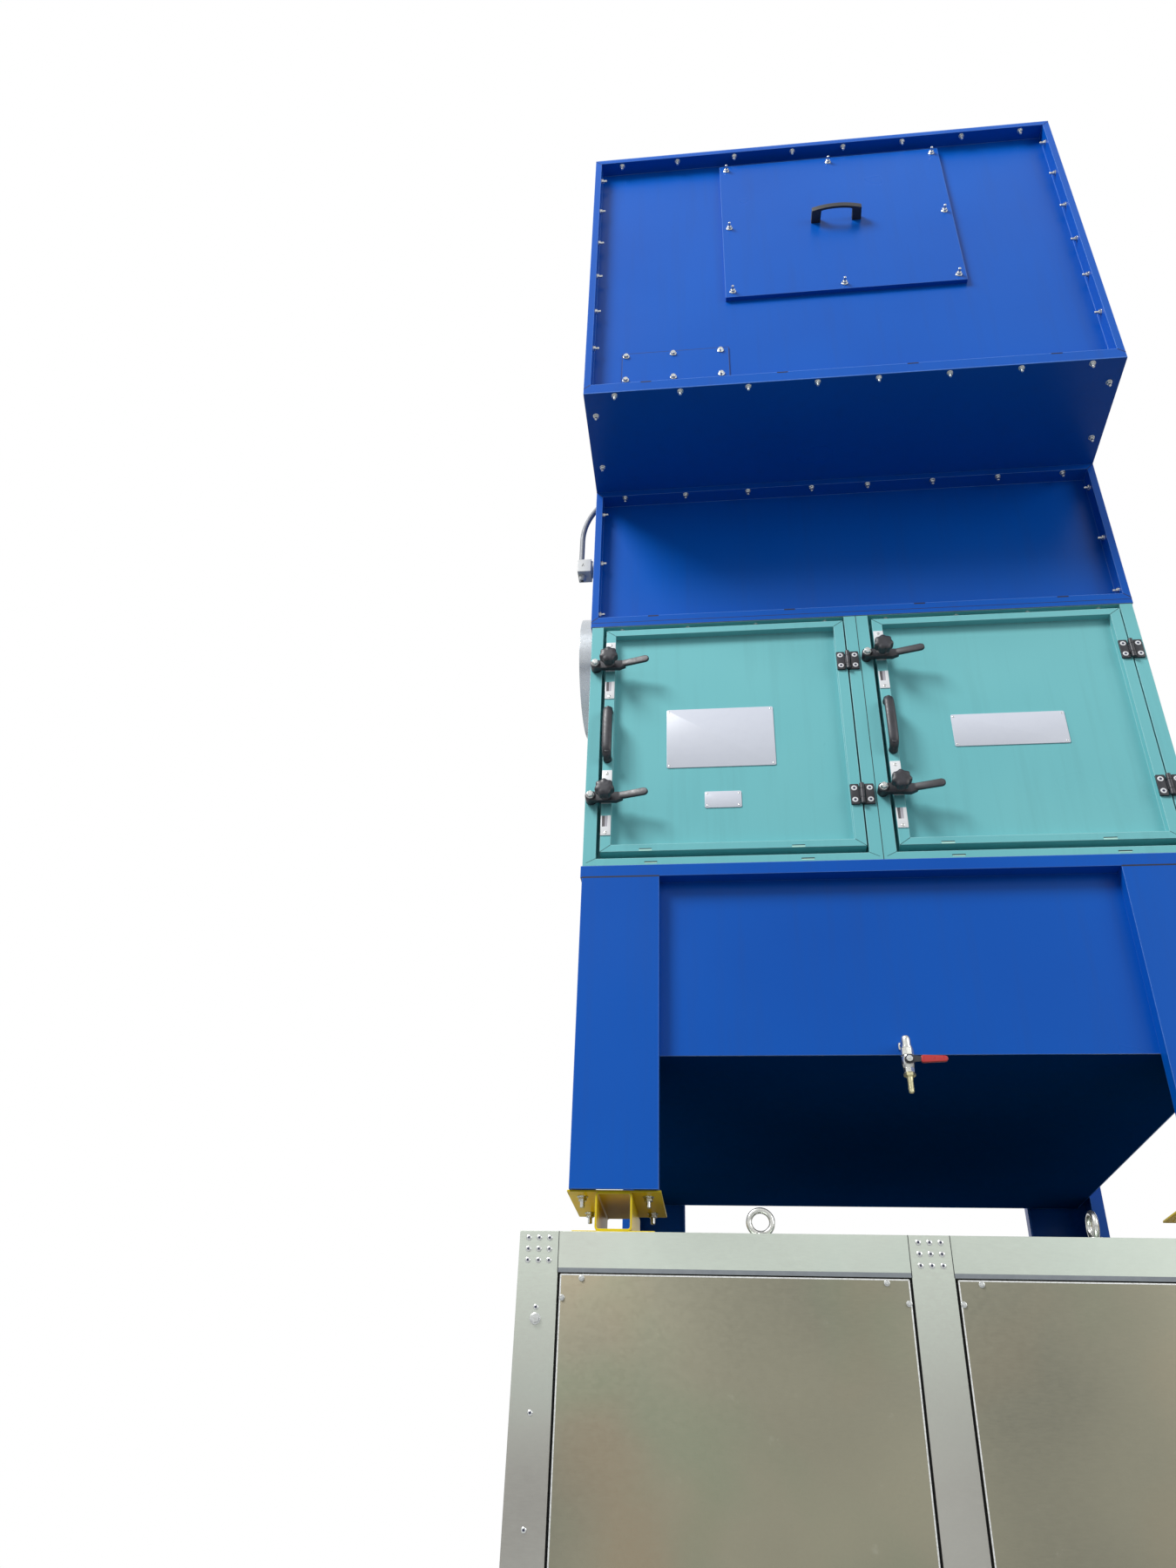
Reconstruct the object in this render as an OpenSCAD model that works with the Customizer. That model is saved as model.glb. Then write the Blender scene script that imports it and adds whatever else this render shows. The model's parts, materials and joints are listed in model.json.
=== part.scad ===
// Modular dust separator on its galvanised housing, front toward -Y, ground at z = 0

/* [Casing] */
// Width of the green filter level across both frames
unit_w = 1500; // [1300:10:1700]
// Depth of the casing from front to back
unit_d = 1520; // [1300:10:1800]
// How far the blue levels stand out past the green level on each side
blue_over = 4; // [1:1:8]
// Thickness of the folded steel sheet
sheet_t = 3; // [2:0.5:4]
// Width of the folded rim around a sheet panel
rim_w = 20; // [15:1:30]
// Height of the bottom rim of a front panel
low_rim_h = 36; // [25:1:45]
// How far a panel's sheet lies behind its rim
rim_d = 45; // [35:1:55]

/* [Levels] */
// Height of the galvanised housing
housing_h = 2150; // [1800:10:2400]
// Height of the legs
leg_h = 764; // [600:2:900]
// Height of the band that the legs and the tank hang from
band_h = 32; // [25:1:45]
// Height of the green filter level
filter_h = 790; // [700:2:900]
// Height of the neck above the filter level
neck_h = 556; // [520:1:700]
// Height of the top plenum
plenum_h = 1224; // [1000:2:1400]
// How far the plenum overhangs the front
overhang = 380; // [250:2:500]

/* [Housing] */
// How far the housing stands out past the casing on each side
housing_side = 100; // [95:1:150]
// Width and depth of the posts of the housing frame
post_w = 84; // [60:1:100]
// Height of the rails between the posts
rail_h = 82; // [60:1:100]
// Height of the base frame under the posts
base_h = 100; // [60:5:160]
// Thickness of the insulated wall and roof panels
panel_t = 45; // [30:1:55]
// Width of the shadow gap around each wall panel
panel_gap = 5; // [2:0.5:7]
// Depth of the shadow gap around each wall panel
panel_gap_d = 12; // [4:1:15]
// Distance of the lifting eyes from the centre line
eye_x = 340; // [250:5:450]
// Outer radius of the ring of a lifting eye
eye_r = 31; // [27:0.5:36]
// Radius of the rod that the ring is made of
eye_rod_r = 6.5; // [5:0.5:8]
// Radius of the collar under the ring
eye_collar_r = 17; // [13:0.5:20]
// Height of the collar under the ring
eye_collar_h = 8; // [6:0.5:12]

/* [Feet and legs] */
// Width of the top plate of a foot
foot_w = 205; // [200:1:240]
// Depth of the plates of a foot
foot_d = 237; // [200:1:260]
// Width of the base plate of a foot
foot_base_w = 178; // [140:1:200]
// Side of the square tube of a foot
foot_tube = 80; // [60:1:100]
// Wall of the square tube of a foot
foot_wall = 4; // [3:0.5:6]
// Thickness of the plates of a foot
foot_plate_t = 4; // [3:0.5:8]
// How far a foot stands back from the front of the casing
foot_back = 10; // [5:1:30]
// How far a foot plate stands out past the leg at the side
foot_out = 5; // [0:1:10]
// Distance across the casing between the bolt holes of a foot
foot_hole_x = 145; // [120:1:160]
// Distance from front to back between the bolt holes of a foot
foot_hole_y = 155; // [120:1:180]
// Radius of the bolt holes in the feet
foot_hole_r = 7; // [5:0.5:9]
// Width of the plates of a corner leg
leg_w = 195; // [150:1:220]
// Thickness of the leg plate
leg_t = 5; // [4:0.5:8]

/* [Tank] */
// How far the tank lies behind the faces of the casing
tank_in = 38; // [30:1:60]
// Height of the tank under the band
tank_h = 454; // [300:2:560]
// Width of the band's bars
band_w = 60; // [50:1:90]

/* [Filter frames and doors] */
// Width of the front stiles of a filter frame
stile_w = 33; // [30:1:40]
// Height of the bottom rail of a filter frame
frame_low_h = 20; // [15:1:30]
// Width of the stop rim behind the edge of a door
stop_lap = 20; // [12:1:30]
// Gap at the hinge edge of a door
hinge_gap = 4; // [3:0.5:6]
// Gap at the clamp edge of a door
clamp_gap = 10; // [8:0.5:14]
// Gap above a door
door_top_gap = 14; // [8:1:20]
// Gap under a door
door_low_gap = 20; // [10:1:25]
// Thickness of a door
door_t = 37; // [30:1:38]
// Width of the raised border at the sides of a door
border_w = 27; // [24:1:35]
// Height of the raised border at the top and bottom of a door
border_h = 20; // [15:1:30]
// Depth of the recessed field of a door
field_d = 22; // [10:1:26]

/* [Hinges] */
// Height and full width of a hinge
hinge_size = 60; // [50:1:65]
// Thickness of a hinge leaf
leaf_t = 5; // [4:0.5:6]
// Outer radius of a hinge knuckle
knuckle_r = 6.5; // [6:0.25:8]
// Height of the middle knuckle, which the door carries
knuckle_h = 26; // [20:1:34]
// Radius of the hinge pin
pin_r = 3; // [2:0.25:4]
// Running clearance between the pin and its knuckle
pin_clear = 0.05; // [0.02:0.01:0.1]
// Space between neighbouring knuckles
knuckle_gap = 0.3; // [0.2:0.1:0.6]
// Height of the upper hinges above the bottom of the filter level
hinge_hi_z = 626; // [500:1:700]
// Height of the lower hinges above the bottom of the filter level
hinge_lo_z = 190; // [100:1:300]

/* [Clamps] */
// Radius of the hub of a swing clamp
hub_r = 14; // [11:0.5:15]
// Length of the spacer that stays on the stile
spacer_l = 12; // [8:0.5:16]
// Length of the hub of the swing arm
hub_l = 16; // [12:0.5:22]
// Space between the spacer and the hub
hub_gap = 0.5; // [0.3:0.1:1]
// Distance from the hub to the star knob
knob_x = 40.5; // [36:0.5:50]
// Radius of the star knob
knob_r = 26; // [18:0.5:28]
// Depth of the star knob
knob_l = 26; // [18:1:30]
// Length of the neck under the star knob
knob_neck = 17; // [8:1:24]
// Distance from the hub to the end of the tail lever
tail_x = 155; // [120:1:180]
// Angle by which the tail lever bends outward
tail_bend = 15; // [0:1:20]
// Height of the tail lever
tail_h = 20; // [14:1:24]
// Thickness of the tail lever
tail_t = 7; // [5:0.5:10]
// Height of the upper clamps above the bottom of the filter level
clamp_hi_z = 634; // [520:1:700]
// Height of the lower clamps above the bottom of the filter level
clamp_lo_z = 195; // [120:1:300]
// Thickness of the wear plates on the door border
plate_t = 2; // [1:0.5:3]
// Height of the long wear plates behind the knobs
long_plate_h = 104; // [90:1:130]
// Height of the short wear plates below the clamps
short_plate_h = 60; // [40:1:80]
// How far a short plate's top lies below the clamp
short_plate_drop = 47; // [35:1:60]

/* [Handles and signs] */
// Length of a door handle
handle_l = 180; // [140:1:220]
// Width of a door handle
handle_w = 27; // [18:1:30]
// How far a door handle stands out
handle_out = 42; // [32:1:60]
// Thickness of the grip of a door handle
grip_t = 13; // [9:1:16]
// Height of the middle of a door handle above the bottom of the filter level
handle_z = 402; // [350:1:430]
// Width of the large sign on the left door
sign_w = 290; // [200:1:350]
// Height of the large sign on the left door
sign_h = 192; // [120:1:240]
// Thickness of the sign plates
sign_t = 2; // [1:0.5:3]
// Width of the small rating plate
rating_w = 96; // [60:1:120]
// Height of the small rating plate
rating_h = 50; // [30:1:70]
// Width of the safety sign on the right door
safety_w = 292; // [200:1:350]
// Height of the safety sign on the right door
safety_h = 102; // [60:1:140]

/* [Plenum fittings] */
// Side of the square inspection cover
cover_s = 725; // [500:1:800]
// Thickness of the inspection cover
cover_t = 15; // [8:1:20]
// Distance of the cover's centre from the centre line
cover_x = 31; // [-60:1:120]
// Gap between the cover and the top of the plenum
cover_drop = 52; // [30:1:120]
// Length of the bridge handle on the cover
bridge_l = 158; // [100:1:180]
// Height of the bridge handle on the cover
bridge_h = 19; // [14:1:30]
// How far the bridge handle stands out
bridge_out = 52; // [32:1:60]
// Width of each leg of the bridge handle
bridge_leg = 29; // [15:1:35]
// Thickness of the arched grip of the bridge handle
bridge_t = 8; // [5:1:12]
// How far the grip arches past its ends
bridge_rise = 11; // [4:1:16]
// Width of the blanking plate
blank_w = 318; // [200:1:400]
// Height of the blanking plate
blank_h = 136; // [100:1:180]
// Left edge of the blanking plate from the outside of the plenum
blank_left = 106; // [60:1:200]
// Height of the bottom of the blanking plate above the plenum's bottom
blank_up = 88; // [60:1:160]

/* [Duct spigots] */
// Inner radius of the duct spigots
duct_r = 205; // [150:1:230]
// Wall of the duct spigots
duct_wall = 2; // [1:0.5:4]
// Length of a duct spigot outside the casing
duct_l = 90; // [60:1:200]
// Width of the fixing flange around the duct's bore
duct_flange = 28; // [20:1:40]
// How far the duct centre lies behind the front of the casing
duct_y = 600; // [400:1:900]

/* [Junction box] */
// Width of the junction box out from the wall
jbox_w = 53; // [40:1:80]
// Depth of the junction box along the wall
jbox_d = 50; // [40:1:120]
// Height of the junction box
jbox_h = 56; // [40:1:120]
// How far the junction box lies behind the front of the casing
jbox_y = 22; // [10:1:80]
// Height of the bottom of the junction box above the neck's bottom
jbox_z = 244; // [120:1:260]
// Radius of the cable gland under the junction box
gland_r = 11; // [6:0.5:12]
// Length of the cable gland
gland_l = 18; // [10:1:25]
// Distance of the cable gland from the wall
gland_out = 39; // [20:1:42]
// Radius of the conduit above the junction box
conduit_r = 8; // [4:0.5:10]
// Distance of the upright conduit from the wall
conduit_out = 44; // [30:1:46]
// Radius of the bend at the top of the conduit
conduit_bend = 240; // [180:5:280]
// Gap between the conduit's end and the plenum
conduit_gap = 8; // [2:1:20]

/* [Drain valve] */
// Height of the outlet above the bottom of the tank
drain_up = 18; // [14:1:60]
// How far the valve stands in front of the tank
drain_out = 42; // [34:1:60]
// Radius of the outlet elbow
elbow_r = 10; // [8:0.5:13]
// Drop from the outlet to the lever spindle
spindle_drop = 50; // [42:1:70]
// Width across the flats of the valve body
valve_flats = 25; // [20:0.5:30]
// Length of the valve body
valve_l = 50; // [40:1:70]
// Width across the flats of the hose nut
nut_flats = 22; // [18:0.5:28]
// Radius of the hose barb
barb_r = 6; // [4:0.5:8]
// Length of the hose barb below the nut
barb_l = 36; // [20:1:50]
// Radius of the bore through the hose barb
barb_bore_r = 4; // [2:0.25:5]
// Radius of the lever spindle
spindle_r = 4; // [3:0.25:5]
// Running clearance between the spindle and the lever
spindle_clear = 0.05; // [0.02:0.01:0.1]
// Length of the lever from its spindle
lever_l = 84; // [60:1:120]
// Width of the grip of the lever
lever_w = 15; // [10:0.5:20]
// Thickness of the lever strap
lever_t = 3; // [2:0.5:5]

/* [Hidden] */

$fn = 48;

front_y = -unit_d / 2;
back_y = unit_d / 2;
half_w = unit_w / 2;
blue_half = half_w + blue_over;
pan_t = rim_d + sheet_t;

housing_half = half_w + housing_side;
foot_h = foot_tube + 2 * foot_plate_t;
leg_z = housing_h + foot_h;
band_z = leg_z + leg_h;
filter_z = band_z + band_h;
neck_z = filter_z + filter_h;
plenum_z = neck_z + neck_h;
roof_z = plenum_z + plenum_h;
plenum_front_y = front_y - overhang;

tank_z = band_z - tank_h;
tank_half = half_w - tank_in;
tank_front_y = front_y + tank_in;
tank_back_y = back_y - tank_in;

module_w = unit_w / 2;
door_left = stile_w + clamp_gap;
door_w = module_w - 2 * stile_w - clamp_gap - hinge_gap;
door_z = frame_low_h + door_low_gap;
door_h = filter_h - door_z - door_top_gap - sheet_t;
stop_t = sheet_t;
stop_y = front_y + rim_d - stop_t;

pin_x = module_w - stile_w - hinge_gap / 2;
pin_y = front_y - knuckle_r - 0.5;
hub_x = stile_w / 2;
arm_y = front_y - spacer_l - hub_gap;
border_x = door_left + border_w / 2;

// Blocks and panels

// A block given by its lowest and highest corners
module span(lo, hi) {
    translate(lo) cube(hi - lo);
}

// A folded sheet panel that faces -Y: its outer size, and its rim heights at the bottom and top
module pan(w, h, low, high) {
    difference() {
        cube([w, pan_t, h]);
        translate([rim_w, -1, low]) cube([w - 2 * rim_w, rim_d + 1, h - low - high]);
    }
}

// The same panel at the right-hand side, facing +X
module side_pan(half, y0, y1, z, h) {
    translate([half, y0, z]) rotate([0, 0, 90]) pan(y1 - y0, h, rim_w, rim_w);
}

// The same panel at the rear, facing +Y
module rear_pan(half, y, z, h, low, high) {
    translate([half, y, z]) rotate([0, 0, 180]) pan(2 * half, h, low, high);
}

// One copy at each side of the centre plane x = 0
module both_sides() {
    children();
    mirror([1, 0, 0]) children();
}

// One copy at the front and one at the back of the centre plane y = 0
module front_and_back() {
    children();
    mirror([0, 1, 0]) children();
}

// Galvanised housing

module housing_base() {
    color("silver") {
        both_sides() span([housing_half - post_w, front_y, 0], [housing_half, back_y, base_h]);
        span([post_w - housing_half, front_y, 0], [housing_half - post_w, front_y + post_w, base_h]);
        span([post_w - housing_half, back_y - post_w, 0], [housing_half - post_w, back_y, base_h]);
    }
}

module housing_floor() {
    color("silver")
        span([post_w - housing_half, front_y + post_w, 0], [housing_half - post_w, back_y - post_w, panel_t]);
}

module post(x, y) {
    span([x, y, base_h], [x + post_w, y + post_w, housing_h]);
}

module housing_posts() {
    color("silver") {
        both_sides() {
            post(housing_half - post_w, front_y);
            post(housing_half - post_w, -post_w / 2);
            post(housing_half - post_w, back_y - post_w);
        }
        post(-post_w / 2, front_y);
        post(-post_w / 2, back_y - post_w);
    }
}

// The rails of one height, between the posts
module rail_ring(z) {
    both_sides() {
        span([post_w / 2, front_y, z], [housing_half - post_w, front_y + post_w, z + rail_h]);
        span([post_w / 2, back_y - post_w, z], [housing_half - post_w, back_y, z + rail_h]);
        span([housing_half - post_w, front_y + post_w, z], [housing_half, -post_w / 2, z + rail_h]);
        span([housing_half - post_w, post_w / 2, z], [housing_half, back_y - post_w, z + rail_h]);
    }
}

module housing_rails() {
    color("silver") {
        rail_ring(base_h);
        rail_ring(housing_h - rail_h);
    }
}

module housing_roof() {
    color("silver")
        span([post_w - housing_half, front_y + post_w, housing_h - panel_t],
             [housing_half - post_w, back_y - post_w, housing_h]);
}

// A wall panel that faces -Y, stepped back at its edges
module wall_panel(w) {
    h = housing_h - base_h - 2 * rail_h;
    translate([0, panel_gap_d, 0]) cube([w, panel_t - panel_gap_d, h]);
    translate([panel_gap, 0, panel_gap]) cube([w - 2 * panel_gap, panel_t, h - 2 * panel_gap]);
}

module housing_panels() {
    z = base_h + rail_h;
    color("darkgray") {
        both_sides() front_and_back() translate([post_w / 2, front_y, z])
            wall_panel(housing_half - 1.5 * post_w);
        both_sides() for (y = [front_y + post_w, post_w / 2])
            translate([housing_half, y, z]) rotate([0, 0, 90]) wall_panel(unit_d / 2 - 1.5 * post_w);
    }
}

// A lifting eye with its ring in the plane turned by a
module lifting_eye(x, y, a) {
    translate([x, y, housing_h]) rotate([0, 0, a]) {
        cylinder(r = eye_collar_r, h = eye_collar_h);
        translate([0, 0, eye_r]) rotate([90, 0, 0]) rotate_extrude()
            translate([eye_r - eye_rod_r, 0]) circle(r = eye_rod_r, $fn = 16);
    }
}

module lifting_eyes() {
    color("gainsboro") {
        lifting_eye(-eye_x, front_y + post_w / 2, 0);
        lifting_eye(eye_x, front_y + post_w / 2, 90);
        lifting_eye(-eye_x, back_y - post_w / 2, 0);
        lifting_eye(eye_x, back_y - post_w / 2, 90);
    }
}

// Feet and legs

// The front foot at the right-hand side
module foot() {
    x0 = half_w - leg_w - foot_out;
    x1 = x0 + foot_w;
    y0 = front_y + foot_back;
    mid_x = (x0 + x1) / 2;
    mid_y = y0 + foot_d / 2;
    tube = foot_tube / 2;
    top_z = leg_z - foot_plate_t;
    difference() {
        union() {
            span([x0, y0, top_z], [x1, y0 + foot_d, leg_z]);
            span([mid_x - foot_base_w / 2, y0, housing_h],
                 [mid_x + foot_base_w / 2, y0 + foot_d, housing_h + foot_plate_t]);
            span([mid_x - tube, y0, housing_h], [mid_x + tube, y0 + foot_d, leg_z]);
        }
        span([mid_x - tube + foot_wall, y0 - 1, housing_h + foot_plate_t + foot_wall],
             [mid_x + tube - foot_wall, y0 + foot_d + 1, top_z - foot_wall]);
        for (dx = [-foot_hole_x / 2, foot_hole_x / 2], dy = [-foot_hole_y / 2, foot_hole_y / 2])
            translate([mid_x + dx, mid_y + dy, top_z - 1]) cylinder(r = foot_hole_r, h = foot_plate_t + 2);
    }
}

module feet() {
    color("gold") both_sides() front_and_back() foot();
}

// The front leg at the right-hand side, a corner profile with lips that meet the tank
module leg() {
    x0 = half_w - leg_w;
    y1 = front_y + leg_w;
    translate([0, 0, leg_z]) linear_extrude(leg_h) difference() {
        translate([x0, front_y]) square([leg_w, leg_w]);
        translate([x0 + leg_t, front_y + leg_t]) square([leg_w - 2 * leg_t, leg_w - 2 * leg_t]);
        translate([x0 - 1, front_y + tank_in]) square([leg_w + 1 - tank_in, leg_w - tank_in + 1]);
    }
}

module legs() {
    color("royalblue") both_sides() front_and_back() leg();
}

// Tank

module tank_band() {
    color("royalblue") translate([0, 0, band_z]) linear_extrude(band_h) difference() {
        translate([-blue_half, front_y]) square([2 * blue_half, unit_d]);
        translate([band_w - blue_half, front_y + band_w])
            square([2 * (blue_half - band_w), unit_d - 2 * band_w]);
    }
}

module tank_ends() {
    color("royalblue") for (y = [tank_front_y, tank_back_y - sheet_t])
        span([-tank_half, y, tank_z], [tank_half, y + sheet_t, band_z]);
}

module tank_sides() {
    color("royalblue") both_sides()
        span([tank_half - sheet_t, tank_front_y + sheet_t, tank_z],
             [tank_half, tank_back_y - sheet_t, band_z]);
}

module tank_floor() {
    color("midnightblue")
        span([sheet_t - tank_half, tank_front_y + sheet_t, tank_z],
             [tank_half - sheet_t, tank_back_y - sheet_t, tank_z + sheet_t]);
}

// Drain valve

drain_z = tank_z + drain_up;
valve_y = tank_front_y - drain_out;
spindle_z = drain_z - spindle_drop;
nut_h = 9;
nut_z = spindle_z - valve_l / 2 - nut_h;
lever_y = valve_y - valve_flats / 2 - 8;

// A hexagonal prism along z given by its width across the flats
module hex_prism(flats, h) {
    cylinder(r = flats / 2 / cos(30), h = h, $fn = 6);
}

module drain_valve() {
    color("silver") difference() {
        union() {
            translate([0, tank_front_y, drain_z]) rotate([90, 0, 0]) cylinder(r = elbow_r, h = drain_out);
            translate([0, valve_y, drain_z]) sphere(r = elbow_r);
            translate([0, valve_y, spindle_z]) cylinder(r = elbow_r, h = spindle_drop);
            translate([0, valve_y, spindle_z - valve_l / 2]) hex_prism(valve_flats, valve_l);
            translate([0, valve_y, nut_z]) hex_prism(nut_flats, nut_h);
            translate([0, valve_y, nut_z - barb_l]) cylinder(r = barb_r, h = barb_l);
            translate([0, valve_y, spindle_z]) rotate([90, 0, 0])
                cylinder(r = spindle_r, h = valve_y - lever_y + lever_t + 2);
            translate([0, valve_y, spindle_z]) rotate([90, 0, 0])
                cylinder(r = 2 * spindle_r, h = valve_y - lever_y - 0.5);
            translate([0, lever_y - lever_t - 0.5, spindle_z]) rotate([90, 0, 0])
                hex_prism(3 * spindle_r, 4);
        }
        translate([0, valve_y, nut_z - barb_l - 1]) cylinder(r = barb_bore_r, h = barb_l);
    }
}

module drain_lever() {
    grip_x = 26;
    color("red") translate([0, lever_y, spindle_z]) rotate([90, 0, 0]) difference() {
        union() {
            cylinder(r = 2 * spindle_r, h = lever_t);
            translate([0, -spindle_r, 0]) cube([lever_l - 6, 2 * spindle_r, lever_t]);
            translate([grip_x, -lever_w / 2, -1.5])
                cube([lever_l - grip_x - lever_w / 2, lever_w, lever_t + 3]);
            translate([lever_l - lever_w / 2, 0, -1.5]) cylinder(r = lever_w / 2, h = lever_t + 3);
        }
        translate([0, 0, -1]) cylinder(r = spindle_r + spindle_clear, h = lever_t + 2);
    }
}

// Filter level

// The front frame of one filter module, from its left edge at x
module filter_frame(x) {
    inner_l = door_left + stop_lap;
    inner_r = stile_w + hinge_gap + stop_lap;
    inner_low = door_z + stop_lap;
    inner_high = sheet_t + door_top_gap + stop_lap;
    translate([x, front_y, filter_z]) {
        difference() {
            cube([module_w, rim_d, filter_h]);
            translate([stile_w, -1, frame_low_h])
                cube([module_w - 2 * stile_w, rim_d - stop_t + 1, filter_h - frame_low_h - sheet_t]);
            translate([inner_l, -1, inner_low])
                cube([module_w - inner_l - inner_r, rim_d + 2, filter_h - inner_low - inner_high]);
        }
    }
}

module left_filter_frame() {
    color("mediumturquoise") filter_frame(-module_w);
}

module right_filter_frame() {
    color("mediumturquoise") filter_frame(0);
}

module filter_side_panels() {
    color("mediumturquoise") both_sides()
        side_pan(half_w, front_y + rim_d, back_y - pan_t, filter_z, filter_h);
}

module filter_rear_panel() {
    color("mediumturquoise") rear_pan(half_w, back_y, filter_z, filter_h, rim_w, rim_w);
}

// Doors, each from the left edge of its module at x

module door(x) {
    translate([x + door_left, front_y, filter_z + door_z]) difference() {
        cube([door_w, door_t, door_h]);
        translate([border_w, -1, border_h])
            cube([door_w - 2 * border_w, field_d + 1, door_h - 2 * border_h]);
    }
}

module left_door() {
    color("mediumturquoise") door(-module_w);
}

module right_door() {
    color("mediumturquoise") door(0);
}

// Hinges

leaf_w = hinge_size / 2;
leaf_clear = knuckle_r + 1;

// One hinge leaf that lies toward +X, with its knuckles between the heights in spans
module leaf(spans) {
    translate([leaf_clear, front_y - pin_y - leaf_t, -hinge_size / 2])
        cube([leaf_w - leaf_clear, leaf_t, hinge_size]);
    for (s = spans) translate([0, 0, s[0]]) {
        cylinder(r = knuckle_r, h = s[1] - s[0]);
        translate([0, front_y - pin_y - leaf_t, 0]) cube([leaf_clear, leaf_t - 0.5, s[1] - s[0]]);
    }
}

module frame_leaf() {
    lap = hinge_size / 2;
    knuckle = knuckle_h / 2 + knuckle_gap;
    leaf([[-lap, -knuckle], [knuckle, lap]]);
    translate([0, 0, -lap]) cylinder(r = pin_r, h = 2 * lap);
}

module door_leaf() {
    knuckle = knuckle_h / 2;
    difference() {
        mirror([1, 0, 0]) leaf([[-knuckle, knuckle]]);
        translate([0, 0, -knuckle - 1]) cylinder(r = pin_r + pin_clear, h = knuckle_h + 2);
    }
}

// Places a hinge part at both hinges of the module that starts at x
module at_hinges(x) {
    for (z = [hinge_lo_z, hinge_hi_z]) translate([x + pin_x, pin_y, filter_z + z]) children();
}

module frame_hinges() {
    color("dimgray") for (x = [-module_w, 0]) at_hinges(x) frame_leaf();
}

module left_door_hinges() {
    color("dimgray") at_hinges(-module_w) door_leaf();
}

module right_door_hinges() {
    color("dimgray") at_hinges(0) door_leaf();
}

// Swing clamps

// Places a clamp part at both clamps of the module that starts at x
module at_clamps(x, y) {
    for (z = [clamp_lo_z, clamp_hi_z])
        translate([x + hub_x, y, filter_z + z]) rotate([90, 0, 0]) children();
}

module clamp_spacers() {
    color("dimgray") for (x = [-module_w, 0]) at_clamps(x, front_y) cylinder(r = hub_r, h = spacer_l);
}

// A swing arm with its hub, star knob, foot and tail lever, seen from the front
module swing_arm() {
    arm_t = hub_l - 3;
    foot_l = spacer_l + hub_gap - plate_t;
    tail_0 = knob_x + hub_r + 12;
    arm_end = tail_0 + 18;
    tail_l = tail_x - tail_h / 2 - tail_0;
    cylinder(r = hub_r, h = hub_l);
    translate([0, 0, hub_l]) cylinder(r = 11, h = 2);
    translate([0, 0, hub_l + 2]) hex_prism(17, 8);
    linear_extrude(arm_t) polygon([
        [0, -hub_r], [tail_0, -hub_r - 3], [arm_end, 1 - tail_h / 2],
        [arm_end, tail_h / 2 - 2], [knob_x, hub_r - 4], [0, hub_r - 4]
    ]);
    translate([knob_x, 0, 0]) cylinder(r = hub_r, h = hub_l);
    translate([tail_0, 0, 3]) rotate([0, -tail_bend, 0]) {
        translate([0, -tail_h / 2, 0]) cube([tail_l, tail_h, tail_t]);
        translate([tail_l, 0, 0]) cylinder(r = tail_h / 2, h = tail_t);
    }
    translate([knob_x, 0, -foot_l]) cylinder(r = 9, h = foot_l + 1);
    translate([knob_x, 0, hub_l - 1]) cylinder(r = 11, h = knob_neck + 2);
    translate([knob_x, 0, hub_l + knob_neck]) difference() {
        cylinder(r = knob_r, h = knob_l);
        for (i = [0:6]) rotate([0, 0, i * 360 / 7]) translate([knob_r + 4, 0, -1])
            cylinder(r = 7, h = knob_l + 2);
    }
}

module left_door_clamps() {
    color("dimgray") at_clamps(-module_w, arm_y) swing_arm();
}

module right_door_clamps() {
    color("dimgray") at_clamps(0, arm_y) swing_arm();
}

// The wear plates of one door, two for each clamp
module wear_plates(x) {
    lap = 10;
    ramp_w = 14;
    ramp_h = 34;
    for (z = [clamp_lo_z, clamp_hi_z]) translate([x + door_left, front_y - plate_t, filter_z + z]) {
        translate([0, 0, -lap]) cube([border_w, plate_t, long_plate_h]);
        translate([0, 0, -short_plate_drop - short_plate_h]) difference() {
            cube([border_w, plate_t, short_plate_h]);
            translate([4, -1, short_plate_h - ramp_h]) cube([ramp_w, plate_t, ramp_h + 1]);
        }
    }
}

module left_wear_plates() {
    color("whitesmoke") wear_plates(-module_w);
}

module right_wear_plates() {
    color("whitesmoke") wear_plates(0);
}

// Handles and signs

// A bow handle that lies along z, centred on x, against the plane y
module bow_handle(x, y, z, l, w, out, t) {
    r = w / 2;
    translate([x, y, z]) rotate([90, 0, 0]) {
        for (s = [-1, 1]) translate([0, s * (l / 2 - r), 0]) cylinder(r = r, h = out);
        translate([-r, r - l / 2, out - t]) cube([w, l - 2 * r, t]);
    }
}

module left_door_handle() {
    color("dimgray") bow_handle(border_x - module_w, front_y, filter_z + handle_z,
                                handle_l, handle_w, handle_out, grip_t);
}

module right_door_handle() {
    color("dimgray") bow_handle(border_x, front_y, filter_z + handle_z,
                                handle_l, handle_w, handle_out, grip_t);
}

field_y = front_y + field_d;
sign_x = -391;
sign_z = 400;
rating_x = -389;
rating_z = 201;
safety_x = 366;
safety_z = 395;

// A thin plate on the door field, centred on x and z
module sign(x, z, w, h) {
    span([x - w / 2, field_y - sign_t, filter_z + z - h / 2], [x + w / 2, field_y, filter_z + z + h / 2]);
}

module left_door_signs() {
    color("white") {
        sign(sign_x, sign_z, sign_w, sign_h);
        sign(rating_x, rating_z, rating_w, rating_h);
    }
}

module right_door_sign() {
    color("white") sign(safety_x, safety_z, safety_w, safety_h);
}

// Neck with its duct spigots

duct_z = neck_z + neck_h / 2;
wall_in = blue_half - pan_t;

module neck_front() {
    color("royalblue") translate([-blue_half, front_y, neck_z]) pan(2 * blue_half, neck_h, low_rim_h, rim_w);
}

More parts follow.
